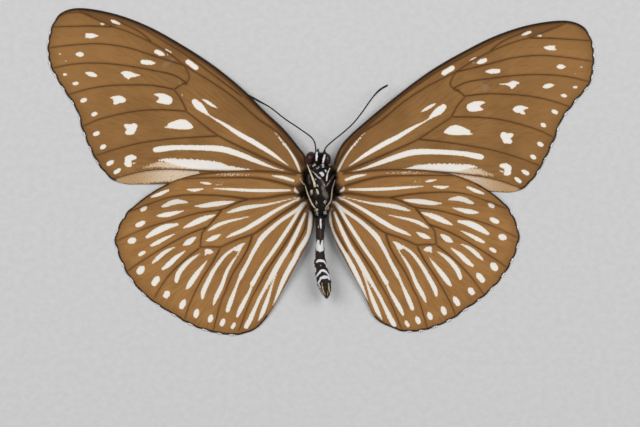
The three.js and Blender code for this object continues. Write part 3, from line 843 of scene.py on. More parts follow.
def spot(x, y, half_length, half_width, turn):
    """A short stroke that fills a drop-shaped spot: pointed at its inner end, round at its outer end."""
    cos, sin = math.cos(math.radians(turn)), math.sin(math.radians(turn))
    point = 0.2 * half_width - half_length
    end = half_length - 0.85 * half_width
    knots = ((point, 0.2), (-0.15 * half_length, 0.95), (end, 0.85))
    return [(x + along * cos, y + along * sin, share * half_width) for along, share in knots]


def lines_as_strokes(lines):
    return [[(x, y, 0.0) for x, y in line] for line in lines]


def sheet_shape(edge):
    """A thin flat sheet inside the edge, sliced into small cells, with two faces and a rim."""
    bm = bmesh.new()
    bm.faces.new([bm.verts.new((x, y, 0)) for x, y in edge])
    for axis in (0, 1):
        normal = Vector((1 - axis, axis, 0))
        for cut in np.arange(edge[:, axis].min() + WING_CELL, edge[:, axis].max(), WING_CELL):
            parts = bm.verts[:] + bm.edges[:] + bm.faces[:]
            bmesh.ops.bisect_plane(bm, geom=parts, dist=1e-5, plane_co=normal * cut, plane_no=normal)
    bmesh.ops.solidify(bm, geom=bm.faces[:], thickness=WING_THICKNESS)
    return bm


def fore_height(x, y):
    away = np.hypot(np.abs(x) - FORE_HINGE[0], y - FORE_HINGE[1])
    return CAD_HALF_THICKNESS + FORE_RISE * np.maximum(0, 1 - away / FORE_REACH) ** 1.5


def fore_place(side, points):
    """Where a point of the drawn wing lies on that side of the body."""
    if side == "left":
        return points
    cos, sin = math.cos(RIGHT_FORE_TURN), math.sin(RIGHT_FORE_TURN)
    arm = (points - FORE_HINGE) @ np.array(((cos, sin), (-sin, cos))) * RIGHT_FORE_SCALE + FORE_HINGE
    return arm * (-1, 1)


def nudged(side, lines):
    """The right wing's veins and marks lie a little further out than the left's, most so halfway along it."""
    if side == "left":
        return lines
    moved = []
    for line in lines:
        out = [np.interp(knot[0], NUDGE_AT, NUDGE_OUT) for knot in line]
        up = [np.interp(knot[0], NUDGE_AT, NUDGE_UP) for knot in line]
        moved.append([(x + dx, y + dy, *half) for dx, dy, (x, y, *half) in zip(out, up, line)])
    return moved


def wing_finish(name, ground, gold, dark, shrink=0.0):
    """Rows of flat scales over wing skin: ground, pale marks, dark margins and vein sides, painted shade by
    the body.
    """
    material, wire = new_finish(name, Specular_IOR_Level=0.15)
    flow = wire.node("CombineXYZ", (), {0: wire.number("spread"), 1: wire.number("reach")})

    def along(across, out):
        return wire.node("VectorMath", {"operation": "MULTIPLY"}, {0: flow, 1: (across, out, 0)})

    streaks = wire.noise(1, 4, along(4, 0.3))
    grain = wire.noise(1, 2, along(9, 5))
    ragged = wire.noise(1, 3, along(7, 2.5)) - 0.5
    shingle = wire.node("TexVoronoi", (), {"Vector": along(10, 6), "Scale": 1.0, "Randomness": 0.7})
    speck = wire.noise(3500, 2) - 0.5
    colour = wire.mix(wire.noise(170, 3).within(0.5, 0.2) * 0.65, ground, gold)
    colour = wire.mix(streaks.within(0.46, 0.12) * 0.3, colour, dark)
    colour = wire.mix(grain.within(0.45, 0.15) * 0.2, colour, dark)
    colour = wire.mix((1 - wire.number("reach").within(TIP_STARTS, 8)) * 0.6, colour, gold)
    colour = wire.mix(wire.number("front").within(2.5, 3) * 0.3, colour, dark)
    colour = wire.mix(wire.number("outer").within(0.9, 1.1) * 0.5, colour, dark)
    colour = wire.mix((wire.number("fold") + ragged * 0.2).within(0.04, 0.1) * 0.5, colour, dark)
    colour = wire.mix((wire.number("band") + ragged * 0.3).within(0, 0.14) * 0.55, colour, VEIN_BROWN)
    front_dark = wire.number("front").within(0.42, 0.25) * (1 - wire.number("reach").within(FRONT_DARKENS, 4))
    colour = wire.mix(front_dark * 0.7, colour, MARGIN_AND_SHADE_DARK)
    colour = wire.mix(wire.number("smudge").within(0, 0.3) * 0.3, colour, SMUDGE_GREY)
    # Painted shade: the ground darkens where the wing meets the thorax and along the hindwings' shade strokes
    # below the hump.
    colour = wire.mix((wire.number("root") + ragged * 0.8).within(0.45, 0.55) * 0.92, colour, MARGIN_AND_SHADE_DARK)
    buff = wire.mix(wire.number("reach").within(BUFF_TURNS, 4), BUFF_GOLD, BUFF_PALE)
    buff = wire.mix(wire.noise(5200, 2).within(0.42, 0.1) * 0.4, buff, gold)
    colour = wire.mix((wire.number("buff") + speck * 1.1).within(0, 0.15) * 0.92, colour, buff)
    cream = wire.number("cream") + speck * 0.6 + ragged * 0.2
    pale = wire.mix(cream.within(-0.1, 0.15), SCALE_CREAM, SCALE_WHITE)
    colour = wire.mix(cream.within(0, 0.07) * 0.95, colour, pale)
    mark = wire.number("mark") + shrink + ragged * 0.25
    white = wire.mix(mark.within(-0.1, 0.12), SCALE_CREAM, SCALE_WHITE)
    colour = wire.mix(mark.within(0, 0.05), colour, white)
    vein = wire.number("vein")
    colour = wire.mix(vein.within(0.26, 0.24) * 0.45, colour, dark)
    colour = wire.mix((vein + 0.02 * wire.number("reach")).within(0.38, 0.24) * 0.65, colour, VEIN_BROWN)
    colour = wire.mix(vein.within(0.1, 0.09) * 0.75, colour, VEIN_BROWN)
    colour = wire.mix((wire.number("outer") + ragged * 0.3).within(0.25, 0.14), colour, MARGIN_AND_SHADE_DARK)
    colour = wire.mix((wire.number("front") + ragged * 0.2).within(0.2, 0.14) * 0.92, colour, MARGIN_AND_SHADE_DARK)
    colour.into("Base Color")
    (0.58 + 0.25 * grain).into("Roughness")
    wire.bump(streaks * 0.6 + (1 - shingle) * 0.5, 0.03).into("Normal")
    return material


FORE_UNDER = wing_finish("forewing_underside", FORE_GROUND, FORE_GOLD, WING_DARK)
WING_UPPER = wing_finish("wing_upperside", WING_DARK, UPPER_GOLD, UPPER_DARK, UPPER_SHRINK)
VEIN_SKIN, wire = new_finish("wing_vein", Specular_IOR_Level=0.15)
wire.mix(wire.noise(1200, 3).within(0.5, 0.2), VEIN_TAN, VEIN_BROWN).into("Base Color")
satin(wire, smoothest=0.45, grain=7000, depth=0.015)
FRONT_SKIN, wire = new_finish("wing_front_rib", Specular_IOR_Level=0.2)
wire.mix(wire.noise(1500, 3).within(0.5, 0.2), MARGIN_AND_SHADE_DARK, RIB_DARK).into("Base Color")
satin(wire, smoothest=0.4, grain=7000, depth=0.015)
FRINGE_SCALES, wire = new_finish("wing_fringe", Roughness=0.7, Specular_IOR_Level=0.15)
fleck = wire.number("fleck")
wire.mix(fleck + wire.noise(2500, 2) * 0.4 - 0.2, MARGIN_AND_SHADE_DARK, FLECK_WHITE).into("Base Color")
wire.bump(wire.noise(9000, 2), 0.02).into("Normal")


def wing_edge(plan):
    """The wing's edge and its outer stretch, waved by the vein and fold ends, and the gap to those ends."""
    edge = smooth_line(plan["corners"], EDGE_STEPS, closed=True)
    first, last = [EDGE_STEPS * corner for corner in plan["outer"]]
    outer = edge[first:last + 1]
    ends = np.array([line[-1] for line in plan["veins"] + plan["folds"]])
    gap = np.linalg.norm(outer[:, None] - ends[None], axis=2).min(axis=1)
    outward = unit(np.gradient(outer, axis=0))[:, ::-1] * (-1, 1)
    fade = np.clip(np.minimum(np.arange(len(outer)), np.arange(len(outer))[::-1]) / EDGE_STEPS, 0, 1)
    wave = SCALLOP * fade * (0.5 - np.clip(gap / SCALLOP_RUN, 0, 1) ** 2)
    edge[first:last + 1] += outward * wave[:, None]
    return edge, edge[first:last + 1], outward, gap


def wing_sheet(name, plan, edge, outer):
    """The scaled skin: every vertex gets its distance to marks, veins, folds and margins, then its place."""
    sheet = shape_of(sheet_shape(edge))
    flat = spots_of(sheet)
    drawn = flat[:, :2]
    placed = plan["place"](drawn)
    vein_gap = outside_of(drawn, lines_as_strokes(plan["veins"]))
    arm = drawn - plan["hinge"]
    paint_by(
        sheet,
        mark=np.maximum(outside_of(drawn, plan["marks"]), -outside_of(drawn, plan["notches"])),
        vein=np.minimum(vein_gap, outside_of(drawn, plan["lines"])),
        smudge=outside_of(drawn, plan["smudges"]),
        fold=outside_of(drawn, lines_as_strokes(plan["folds"])),
        cream=outside_of(drawn, plan["cream"]),
        buff=outside_of(drawn, plan["buff"]),
        band=outside_of(drawn, plan["band"]),
        front=outside_of(drawn, lines_as_strokes(plan["front"])),
        outer=outside_of(drawn, lines_as_strokes([outer[::2]])),
        # Distance to the body's outline and into the shade strokes, read by the finish as painted shade at
        # the root.
        root=np.minimum(outside_of(placed, [BODY_PLAN]), outside_of(drawn, plan["shade"])),
        spread=SPREAD_WIDTH * np.arctan2(arm[:, 1], arm[:, 0]),
        reach=np.hypot(arm[:, 0], arm[:, 1]),
    )
    for polygon in sheet.polygons:
        polygon.material_index = 1 if polygon.normal.z < -0.5 else 0
    sag = PLEAT * (1 - np.exp(-(vein_gap / PLEAT_WIDTH) ** 2))
    half = np.where(flat[:, 2] > flat[:, 2].mean(), 0.5, -0.5) * WING_THICKNESS
    move_to(sheet, np.column_stack([placed, plan["height"](placed[:, 0], placed[:, 1]) - sag + half]))
    if placed[:, 0].mean() < 0:
        sheet.flip_normals()
    place_piece(f"{name}_sheet", sheet, [plan["under"], WING_UPPER], [name])


def wing_ribs(name, plan, lines, half_widths, finish):
    """Hollow ribs that taper to the margin, half sunk in the skin."""
    bm = bmesh.new()
    for line in lines:
        spots = plan["place"](np.array(line, float))
        half = np.linspace(*half_widths, len(spots))
        level = plan["height"](spots[:, 0], spots[:, 1])
        rod(bm, np.column_stack([spots, level, half, half]), sides=8, steps=8, ends=0.03)
    place_piece(name, shape_of(bm), [finish])


def wing_fringe(name, plan, outer, outward, gap):
    """Slim hair scales along the outer margin, white in a short fleck halfway between the vein ends."""
    draw = np.random.default_rng(FRINGE_SEED)
    run = np.concatenate([[0], np.cumsum(np.linalg.norm(np.diff(outer, axis=0), axis=1))])
    where = np.sort(draw.uniform(0, run[-1], int(run[-1] / FRINGE_SPACING)))
    drawn = np.column_stack([np.interp(where, run, outer[:, axis]) for axis in (0, 1)])
    aside = np.column_stack([np.interp(where, run, outward[:, axis]) for axis in (0, 1)])
    inner = slice(EDGE_STEPS, -EDGE_STEPS)
    peaks = run[1:-1][inner][((gap[1:-1] > gap[:-2]) & (gap[1:-1] >= gap[2:]))[inner]]
    fleck = np.abs(where[:, None] - peaks[None]).min(axis=1) < FLECK_HALF
    roots, tips = plan["place"](drawn - aside * FRINGE_TUCK), plan["place"](drawn + aside)
    aims = unit(np.column_stack([tips - roots, np.abs(draw.normal(0, FRINGE_LIFT, len(roots)))]))
    level = plan["height"](roots[:, 0], roots[:, 1]) - PLEAT / 2
    full = np.where(fleck, FRINGE_WHITE_LENGTH, FRINGE_DARK_LENGTH)
    lengths = draw.uniform(*FRINGE_UNEVEN, len(roots)) * full
    fringe = hair_shape(np.column_stack([roots, level]), aims, lengths, FRINGE_HALF_WIDTH, sag=0)
    paint_by(fringe, fleck=np.repeat(fleck.astype(float), VERTS_A_HAIR))
    place_piece(f"{name}_fringe", fringe, [FRINGE_SCALES])


def build_wing(name, plan):
    edge, outer, outward, gap = wing_edge(plan)
    wing_sheet(name, plan, edge, outer)
    wing_ribs(f"{name}_veins", plan, plan["veins"], VEIN_HALF_WIDTHS, VEIN_SKIN)
    if plan["front"]:
        wing_ribs(f"{name}_front_rib", plan, plan["front"], FRONT_RIB, FRONT_SKIN)
    wing_fringe(name, plan, outer, outward, gap)


for side, shoulder in FORE_SHOULDERS.items():
    outer_starts = len(shoulder + FORE_FRONT)
    outer_line = FORE_TIP + FORE_MARGINS[side]
    build_wing(f"forewing_{side}", {
        "corners": shoulder + FORE_FRONT + outer_line + FORE_INNER,
        "outer": (outer_starts, outer_starts + len(outer_line) - 1),
        "front": [shoulder[1:] + FORE_FRONT + FORE_TIP[:1]],
        "veins": nudged(side, FORE_VEINS + FORE_INNER_VEINS[side]),
        "lines": FORE_LINES + nudged(side, FORE_TEARS[side]),
        "folds": nudged(side, FORE_FOLDS),
        "marks": nudged(side, FORE_STREAKS + FORE_FILLS[side] + FORE_SCARS[side]
                        + [spot(*each) for each in FORE_SPOTS]),
        "notches": nudged(side, FORE_NOTCHES[side] + SHARED_NOTCHES),
        "smudges": FORE_SMUDGES[side],
        "cream": nudged(side, FORE_CREAM),
        "buff": nudged(side, FORE_BUFF),
        "band": FORE_BAND,
        "shade": [],
        "hinge": FORE_HINGE,
        "place": lambda points, side=side: fore_place(side, points),
        "height": fore_height,
        "under": FORE_UNDER,
    })


# Hindwings
# Two rounder sheets of the same make, fixed behind the forewings and lying over their inner edges.
# Long white streaks run between the veins from the root, with a row of spots along the outer edge.
HIND_HINGE = np.array((2.8, -1))
HIND_RISE = 3
HIND_REACH = 26
OVERLAP_STARTS = -5
OVERLAP_FULL = -1.2
OVERLAP_STACK = 0.6
HUMP = (3.25, 0)
HUMP_RISE = 0.32
HUMP_WIDTH = 0.7
# Painted shade: dark strokes on each hindwing's root at the lower, inner side of its hump, laid into the
# ground colour.
HUMP_SHADE = {
    "left": [[(2.45, -0.05, 0.05), (3.1, -0.35, 0), (3.5, -0.5, -0.15)],
             [(2.4, -0.65, 0.3), (2.95, -0.85, 0.2)]],
    "right": [[(2.45, 0.15, 0.2), (3.2, -0.15, 0.15), (3.6, -0.2, 0)],
              [(2.4, -0.6, 0.3), (3.1, -0.85, 0.25)]],
}
SHIFT_AT = (6, 14, 22, 30)
RIGHT_HIND_SHIFT = (-0.15, -0.3, -0.5, -0.58)
RIGHT_HIND_STRETCH = (1.03, 0.995)
STRETCH_ENDS = (-14, -22)
HIND_OUTLINES = {
    "left": [
        (1.6, 1.4), (2.9, 2.1), (5, 2.1), (9.2, 2.6), (13.3, 2.7), (17.5, 2.5), (21.7, 1.9), (26, 0.3),
        (30.2, -2.5), (31.9, -4.6), (33, -7.1), (33.2, -8.5), (32.5, -11.5), (30.2, -15.5), (28.1, -17.8),
        (24.2, -20.8), (21.25, -22.7), (17.9, -24), (14.4, -24.4), (11.25, -23.5), (9.2, -22.1), (7.1, -17.9),
        (4.8, -13.75), (2.5, -9.2), (1.35, -5.8), (1.4, -3.5), (1.3, -2),
    ],
    "right": [
        (1.6, 1.4), (2.9, 1.7), (5, 2), (10, 2.5), (14.2, 2.4), (18.3, 2.2), (22.5, 1.3), (25.4, 0.2),
        (29.2, -2), (32.3, -4.8), (34, -8.1), (34.1, -9.6), (33.1, -12.7), (30.8, -16.5), (29, -18.5),
        (24.6, -21.5), (20.4, -23.75), (16.25, -24.8), (14.2, -25), (11, -24.2), (8.75, -21.9), (6.25, -17.7),
        (3.3, -12.1), (1.9, -9.4), (1, -6.5), (1.3, -3.5), (1.3, -2),
    ],
}
HIND_OUTER = (7, 20)
HIND_INNER_EDGE = slice(20, 26)
EDGE_LINE = -0.06
HIND_VEINS = [
    [(4.3, -0.12), (5, 0.1), (7.1, 0.73), (9.2, 1.2), (11.25, 1.46), (15.4, 1.56), (21.7, 1.56), (23.2, 1.4)],
    [(3.4, -1.5), (4.4, -1.36), (6, -1.52), (9.2, -2), (11.5, -2.1)],
    [(11.5, -2.1), (13.3, -1.8), (15.4, -1.5), (19.6, -1.2), (23.75, -1.4), (27.9, -2.7), (31, -3.9)],
    [(11.5, -2.1), (13.3, -2.6), (15.8, -3.7), (19.6, -4.2), (23.75, -5.3), (27.9, -6.5), (33.1, -8.8)],
    [(15.8, -3.7), (17.5, -5.8), (18.1, -6.5), (19, -7.5), (19.3, -9.2), (19.4, -10)],
    [(18.1, -6.5), (21.7, -7.9), (25.8, -10.2), (30, -12.9), (31.2, -13.8)],
    [(19.4, -10), (21.7, -11.8), (23.75, -13.75), (25.4, -15.6), (27.3, -18.2)],
    [(2.4, -2.1), (3.3, -2.76), (5.2, -4), (6.6, -4.93), (8.2, -6.1), (9.85, -7.35), (10.9, -7.97),
     (13.4, -8.8), (15.1, -9.55), (16.15, -9.97), (17.7, -9.88), (19.4, -9.95)],
    [(16.15, -10.2), (17.5, -12.7), (19.2, -15.2), (20.8, -17.9), (21.9, -20), (22.6, -21.8)],
    [(10.9, -8.1), (11.7, -10.4), (12.9, -12.5), (14.2, -14.6), (15.4, -17.1), (16.5, -19.4), (17.9, -23.8)],
    [(2.2, -3.2), (2.9, -4.5), (3.42, -5.5), (4, -6.7), (5.2, -8.9), (6.7, -11.2), (8.6, -14.05),
     (10.4, -17.1), (11.7, -19.4), (13.6, -24)],
    [(1.9, -4.2), (2.4, -6.9), (3.3, -8.8), (4.5, -11)],
]
HIND_LINES = [
    [(4, 1.95, 0.04), (9.2, 2.5, 0.08), (13.3, 2.6, 0.08), (17.5, 2.4, 0.08), (21.7, 1.8, 0.06),
     (25.8, 0.25, 0.03)],
]
HIND_FOLDS = [
    [(22, -3), (26, -3.6), (32, -5.9)], [(24, -7), (28, -9.1), (32.4, -11.4)],
    [(24, -11.2), (27, -13.6), (29.6, -16)], [(21.5, -13), (24, -16.8), (25.6, -19.6)],
    [(16, -13), (18.5, -18), (20.3, -22.9)], [(11, -12), (14, -18), (16, -24)],
    [(4.5, -5.6), (9, -12), (13, -20)], [(6, -3), (11, -4.4), (16, -6.3)],
]
HIND_STREAKS = [
    [(4.3, 0.85, 0.22), (6, 1.4, 0.25), (7.7, 1.7, 0.1)],
    [(4.8, -0.75, 0.15), (8, -0.75, 0.25), (11.3, -0.65, 0.26), (14.6, -0.4, 0.2), (17.1, -0.25, 0.1)],
    [(18.9, -0.2, 0.1), (19.6, -0.34, 0.22), (20.4, -0.4, 0.25), (21, -0.32, 0.18), (21.4, -0.26, 0.09)],
    [(17.6, 0.58, 0.12), (18.4, 0.7, 0.22), (19.3, 0.85, 0.1)],
    [(24.5, -0.35, 0.18), (26, -1, 0.3), (27.4, -1.5, 0.12)],
    [(3.9, -1.95, 0.07), (6.35, -2.59, 0.13), (8.7, -3.08, 0.2), (11, -3.36, 0.32), (12.45, -3.6, 0.36),
     (13.95, -4, 0.28), (15.1, -4.32, 0.1)],
    [(13.7, -2.5, 0.08), (15.5, -2.65, 0.35), (17.5, -2.85, 0.42), (19, -3.05, 0.3), (20.3, -3.05, 0.08)],
    [(21.4, -2.42, 0.1), (22.3, -2.3, 0.3), (23.2, -2.27, 0.42), (24.2, -2.52, 0.4), (25, -2.87, 0.3),
     (25.6, -3.07, 0.14)],
    [(22.1, -3.8, 0.1), (23.5, -4.15, 0.3), (25, -4.45, 0.4), (26.3, -4.6, 0.16)],
    [(23.1, -6.05, 0.22), (25, -6.5, 0.5), (26.7, -7.3, 0.5), (28, -8.1, 0.25)],
    [(23.4, -7.6, 0.08), (25.4, -8.55, 0.3), (26.8, -9.3, 0.3), (27.5, -9.6, 0.12)],
    [(16.9, -4.6, 0.12), (18.5, -5.1, 0.4), (20, -5.7, 0.45), (21.3, -6.3, 0.3), (22.2, -6.7, 0.08)],
    [(11.2, -4.93, 0.08), (12.8, -5.32, 0.14), (14.5, -5.66, 0.22), (16.3, -6.22, 0.29), (17.2, -6.68, 0.27),
     (18.15, -7.25, 0.1)],
    [(3.5, -2.2, 0.12), (7, -4, 0.28), (10.2, -6, 0.38), (12.3, -7.2, 0.33), (14, -7.9, 0.28),
     (15.1, -8.4, 0.12)],
    [(16.1, -7.9, 0.12), (17.3, -8.5, 0.4), (18.4, -8.9, 0.12)],
    [(20.2, -8.3, 0.2), (21.2, -9, 0.5), (22.1, -9.5, 0.12)],
    [(23.4, -9.8, 0.08), (25, -10.6, 0.3), (26.3, -11.7, 0.33), (27.2, -12.5, 0.12)],
    [(21.7, -10.4, 0.08), (23.3, -11.6, 0.35), (24.7, -12.9, 0.4), (25.5, -13.5, 0.18)],
    [(19.4, -11, 0.08), (21.3, -12.3, 0.33), (22.9, -14.2, 0.4), (23.4, -15.5, 0.32)],
    [(18.1, -12, 0.06), (20, -14.4, 0.38), (21.3, -16.1, 0.4), (21.8, -16.8, 0.18)],
    [(12.1, -9.4, 0.08), (13, -10, 0.38), (13.5, -10.4, 0.36)],
    [(13.75, -10.2, 0.2), (15.2, -11.25, 0.25), (16.7, -13.1, 0.3), (18.1, -15.4, 0.35), (19.2, -17.5, 0.38),
     (19.4, -18.4, 0.22)],
    [(13, -10.3, 0.3), (13.15, -11, 0.12), (14.1, -12.4, 0.2), (15.1, -14.15, 0.27), (16, -16.3, 0.32),
     (17.1, -18.3, 0.35), (17.7, -19.6, 0.12)],
    [(3.2, -3.5, 0.2), (4.4, -4.46, 0.28), (6.35, -5.8, 0.3), (7.75, -6.97, 0.35), (8.7, -7.85, 0.39),
     (9.45, -8.65, 0.42), (10.1, -9.72, 0.34), (10.9, -11.13, 0.32), (11.7, -12.75, 0.3), (12.7, -14.6, 0.35),
     (13, -15.2, 0.28), (13.35, -15.85, 0.22), (13.85, -17, 0.25), (14.7, -18.9, 0.38), (15.4, -20.6, 0.33)],
    [(2.4, -3.1, 0.25), (3.2, -4, 0.25), (4, -5.28, 0.26), (5.2, -7.2, 0.3), (7.7, -11, 0.3),
     (9.15, -13.05, 0.28), (10.3, -15, 0.33), (11.05, -16.25, 0.38)],
    [(11.15, -16.5, 0.2), (11.45, -17.25, 0.22), (12.25, -18.7, 0.31), (13.25, -20.45, 0.37),
     (13.85, -21.6, 0.2)],
    [(2.4, -4.6, 0.2), (4, -8.3, 0.33), (5.3, -10.8, 0.36), (6.45, -12.6, 0.4), (7.45, -14.4, 0.44),
     (8.35, -15.85, 0.33), (9.2, -17.3, 0.26), (9.95, -18.6, 0.28), (10.8, -20.3, 0.3), (11.7, -22.15, 0.41),
     (12.35, -23.3, 0.4)],
    [(7.1, -14.7, 0.1), (7.85, -16.5, 0.17), (8.4, -18.1, 0.27), (9.1, -19.9, 0.36), (9.65, -21.2, 0.33),
     (10.35, -22.4, 0.1)],
    [(7.95, -15.5, 0.07), (8.4, -16.4, 0.08), (8.72, -17.1, 0.04)],
    [(17.35, -10.8, 0.12), (17.9, -10.7, 0.42), (18.3, -10.6, 0.38)],
    [(18.3, -10.9, 0.25), (18.6, -11.25, 0.12)],
]
HIND_INNER_STREAKS = {
    "left": [[(1.95, -4, 0.12), (1.75, -4.8, 0.28), (1.75, -6.1, 0.27), (2.02, -7.38, 0.25),
              (2.9, -9.25, 0.25), (3.85, -10.8, 0.27), (4.65, -12.2, 0.34), (5.6, -14, 0.39),
              (6.45, -15.8, 0.38), (7.25, -17.6, 0.26), (8.1, -19.5, 0.06)]],
    "right": [[(1.95, -4.15, 0.15), (1.62, -4.7, 0.4), (1.62, -6, 0.33), (1.82, -8, 0.36),
               (2.5, -9.3, 0.4), (3.4, -10.7, 0.38), (4, -12.05, 0.4), (4.95, -13.75, 0.4),
               (6, -15.8, 0.37), (6.7, -17.45, 0.3), (7.35, -18.95, 0.2), (7.9, -20, 0.05)]],
}
HIND_SPOTS = [
    (28.5, -3.4, 0.65, 0.38, -30), (29, -5.9, 0.95, 0.42, -25), (30.4, -8.7, 0.75, 0.55, -20),
    (28.75, -10.8, 0.75, 0.33, -30), (29, -13.6, 0.85, 0.6, -50), (26.7, -15.4, 1.05, 0.52, -50),
    (25.2, -17.7, 0.75, 0.52, -55), (22.7, -19.3, 1, 0.48, -60),
    (20.6, -20.9, 0.85, 0.48, -70), (18.3, -21.8, 0.75, 0.43, -68), (16.3, -22.5, 0.75, 0.43, -65),
    (14.5, -23.1, 0.65, 0.33, -62),
]
HIND_ROOT_MARKS = {
    "left": [
        [(4, -0.3, 0.08), (3.95, -0.65, 0.19), (3.6, -1, 0.22), (3.25, -1.18, 0.1)],
        [(3.1, -1.95, 0.25), (3.35, -2.1, 0.3), (3.55, -2.35, 0.22)],
        [(2.25, -2.95, 0.25), (2.65, -3.25, 0.4), (3.3, -3.8, 0.3)],
    ],
    "right": [
        [(4.1, -0.2, 0.08), (4, -0.75, 0.2), (3.75, -1.05, 0.22), (3.5, -1.2, 0.1)],
        [(3.3, -1.95, 0.25), (3.45, -2.1, 0.3), (3.6, -2.3, 0.22)],
        [(2.45, -2.9, 0.25), (2.85, -3.2, 0.38), (3.3, -3.75, 0.3)],
        [(2.4, 0.05, 0.1), (2.7, 0.4, 0.09), (3.3, 1.25, 0.05)],
    ],
}
HIND_NOTCHES = [[(30.9, -9.6, 0.2), (30.7, -9.2, 0.08)]]
HIND_BUFF = [
    [(9, 1.8, -0.25), (12.5, 2, 0.02), (14.5, 2.05, 0.1), (16, 2.05, 0.05), (18, 2, -0.15)],
    [(15.2, 0.8, -0.12), (17, 0.8, -0.08)], [(15.6, 0.4, -0.08), (16.6, 0.38, 0)],
]
HIND_GROUND = (0.335, 0.161, 0.05)
HIND_GOLD = (0.42, 0.212, 0.068)
HIND_DARK = (0.175, 0.075, 0.018)
HIND_UNDER = wing_finish("hindwing_underside", HIND_GROUND, HIND_GOLD, HIND_DARK)


def hind_height(x, y):
    away = np.hypot(np.abs(x) - HIND_HINGE[0], y - HIND_HINGE[1])
    free = CAD_HALF_THICKNESS + HIND_RISE * np.maximum(0, 1 - away / HIND_REACH) ** 1.5
    t = np.clip((y - OVERLAP_STARTS) / (OVERLAP_FULL - OVERLAP_STARTS), 0, 1)
    stacked = np.maximum(free, fore_height(x, y) + OVERLAP_STACK)
    hump = HUMP_RISE * np.exp(-((np.abs(x) - HUMP[0]) ** 2 + (y - HUMP[1]) ** 2) / HUMP_WIDTH ** 2)
    return free + (stacked - free) * t * t * (3 - 2 * t) + hump


def right_shift(x):
    """The right wing is set a little lower than the drawn one, least so near the body."""
    return np.interp(x, SHIFT_AT, RIGHT_HIND_SHIFT)


def right_stretch(y):
    """The right wing is a little wider than the drawn one, but not at its lower end."""
    return np.interp(-y, np.negative(STRETCH_ENDS), RIGHT_HIND_STRETCH)


def hind_place(side, points):
    if side == "left":
        return points
    x, y = points.T
    return np.column_stack([-x * right_stretch(y), y + right_shift(x)])


for side, outline in HIND_OUTLINES.items():
    drawn = np.array(outline, float)
    if side == "right":
        x, y = drawn.T
        x = x / right_stretch(y)
        drawn = np.column_stack([x, y - right_shift(x)])
    build_wing(f"hindwing_{side}", {
        "corners": drawn,
        "outer": HIND_OUTER,
        "front": [],
        "veins": HIND_VEINS,
        "lines": HIND_LINES + [[(x, y, EDGE_LINE) for x, y in drawn[HIND_INNER_EDGE]]],
        "folds": HIND_FOLDS,
        "marks": HIND_STREAKS + HIND_INNER_STREAKS[side] + HIND_ROOT_MARKS[side]
        + [spot(*each) for each in HIND_SPOTS],
        "notches": HIND_NOTCHES,
        "smudges": [],
        "cream": [],
        "buff": HIND_BUFF,
        "band": [],
        "shade": HUMP_SHADE[side],
        "hinge": HIND_HINGE,
        "place": lambda points, side=side: hind_place(side, points),
        "height": hind_height,
        "under": HIND_UNDER,
    })


# Wing roots
# Short hairs hide the joint where each hindwing is hinged: white ones round the wing's hump and at the start
# of its streaks, and black fur, an outgrowth of the body's own, beside the body and behind the hump.
ROOT_TUFTS = {
    "left": [((3.4, -1.1), (3.95, -0.6), 0.1), ((3.1, -2), (3.45, -2.2), 0.16), ((2.3, -3), (3, -3.5), 0.18)],
    "right": [((-3.6, -1.35), (-4.1, -1), 0.1), ((-3.3, -2.15), (-3.7, -2.4), 0.16),
              ((-2.5, -3.1), (-3.4, -3.5), 0.18)],
}
ROOT_FUR = {
    "left": [((2.4, 2.6), (2.3, 0.6), 0.35), ((2.25, 0.2), (2.1, -2.2), 0.35),
             ((2.2, -1.1), (3.15, -1.55), 0.5)],
    "right": [((-2.5, 2.6), (-2.4, 0.6), 0.35), ((-2.3, 0.2), (-2.15, -2.2), 0.35),
              ((-2.3, -1.2), (-3.25, -1.75), 0.5)],
}
ROOT_LEAN = (0.6, -0.5, 0.45)
ROOT_STRAY = 0.25
ROOT_HALF_WIDTH = 0.02


def tuft(stroke, seed, count, lengths, pale):
    """Hairs rooted along a stroke on the hindwing's root, leaning outwards, all white or all dark."""
    draw = np.random.default_rng(seed)
    start, end, spread = stroke
    share = draw.uniform(0, 1, count)[:, None]
    roots = np.array(start) * (1 - share) + np.array(end) * share + draw.normal(0, spread / 2, (count, 2))
    level = hind_height(roots[:, 0], roots[:, 1])
    lean = np.array(ROOT_LEAN) * (np.sign(start[0]), 1, 1)
    aims = unit(lean + draw.normal(0, ROOT_STRAY, (count, 3)))
    roots = np.column_stack([roots, level])
    shape = hair_shape(roots, aims, draw.uniform(*lengths, count), ROOT_HALF_WIDTH)
    nowhere = np.full(len(shape.vertices), AWAY)
    paint_by(shape, white=-nowhere if pale else nowhere, cream=nowhere, grey=nowhere)
    return shape


for side in ROOT_TUFTS:
    for index, stroke in enumerate(ROOT_TUFTS[side]):
        hairs = tuft(stroke, seed=71 + index, count=22, lengths=(0.12, 0.24), pale=True)
        place_piece(f"root_tuft_{side}_{index}", hairs, [FUR])
    for index, stroke in enumerate(ROOT_FUR[side]):
        hairs = tuft(stroke, seed=81 + index, count=260, lengths=(0.3, 0.7), pale=False)
        place_piece(f"root_fur_{side}_{index}", hairs, [FUR])


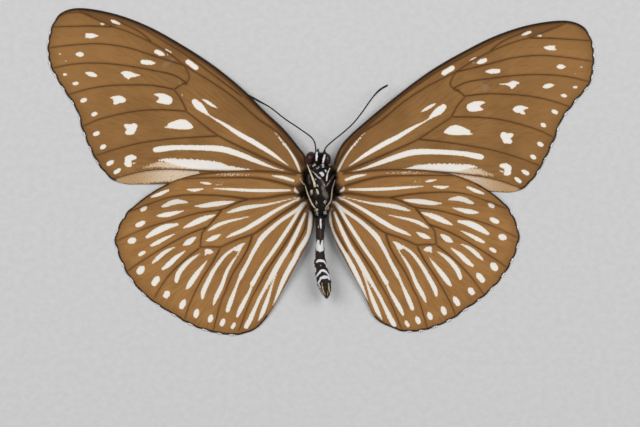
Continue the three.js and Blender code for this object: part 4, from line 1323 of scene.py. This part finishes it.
# Floor, light and camera
# A plain pale grey sheet under the specimen, lit softly from above on both sides.
# The camera looks straight down through a long lens.
FLOOR_HALF = 1.5
FLOOR_GREY = (0.63, 0.63, 0.628)
LAMPS = {"lamp_left": (-0.45, 0.25, 0.6), "lamp_right": (0.45, 0.25, 0.6)}
LAMP_SIZE = 0.5
LAMP_POWER = 3.3
SKY_WHITE = (0.98, 0.99, 1, 1)
SKY_STRENGTH = 0.27
VIEW_CENTRE = (0, -4.75)
VIEW_WIDTH = 106.67
VIEW_HEIGHT = 0.8
SENSOR = 36

FLOOR, wire = new_finish("floor_sheet", Roughness=0.9)
darker_grey = [value * 0.94 for value in FLOOR_GREY]
wire.mix(wire.noise(900, 4).within(0.5, 0.25), FLOOR_GREY, darker_grey).into("Base Color")
wire.bump(wire.noise(1500, 3), 0.05).into("Normal")
bm = bmesh.new()
bmesh.ops.create_grid(bm, x_segments=1, y_segments=1, size=FLOOR_HALF)
floor_mesh = bpy.data.meshes.new("floor")
bm.to_mesh(floor_mesh)
bm.free()
floor_mesh.materials.append(FLOOR)
floor = bpy.data.objects.new("floor", floor_mesh)
bpy.context.scene.collection.objects.link(floor)

for name, hung_at in LAMPS.items():
    lamp = bpy.data.lights.new(name, "AREA")
    lamp.size = LAMP_SIZE
    lamp.energy = LAMP_POWER
    hung_lamp = bpy.data.objects.new(name, lamp)
    hung_lamp.location = hung_at
    hung_lamp.rotation_euler = (-Vector(hung_at)).to_track_quat("-Z", "Y").to_euler()
    bpy.context.scene.collection.objects.link(hung_lamp)

world = bpy.data.worlds.new("studio")
world.use_nodes = True
sky = world.node_tree.nodes["Background"]
sky.inputs["Color"].default_value = SKY_WHITE
sky.inputs["Strength"].default_value = SKY_STRENGTH
bpy.context.scene.world = world
bpy.context.scene.view_settings.view_transform = "Standard"

lens = bpy.data.cameras.new("view")
lens.sensor_width = SENSOR
lens.lens = SENSOR * VIEW_HEIGHT / (VIEW_WIDTH * MM)
camera = bpy.data.objects.new("view", lens)
camera.location = PLAN + Vector((VIEW_CENTRE[0] * MM, VIEW_CENTRE[1] * MM, VIEW_HEIGHT))
bpy.context.scene.collection.objects.link(camera)
bpy.context.scene.camera = camera
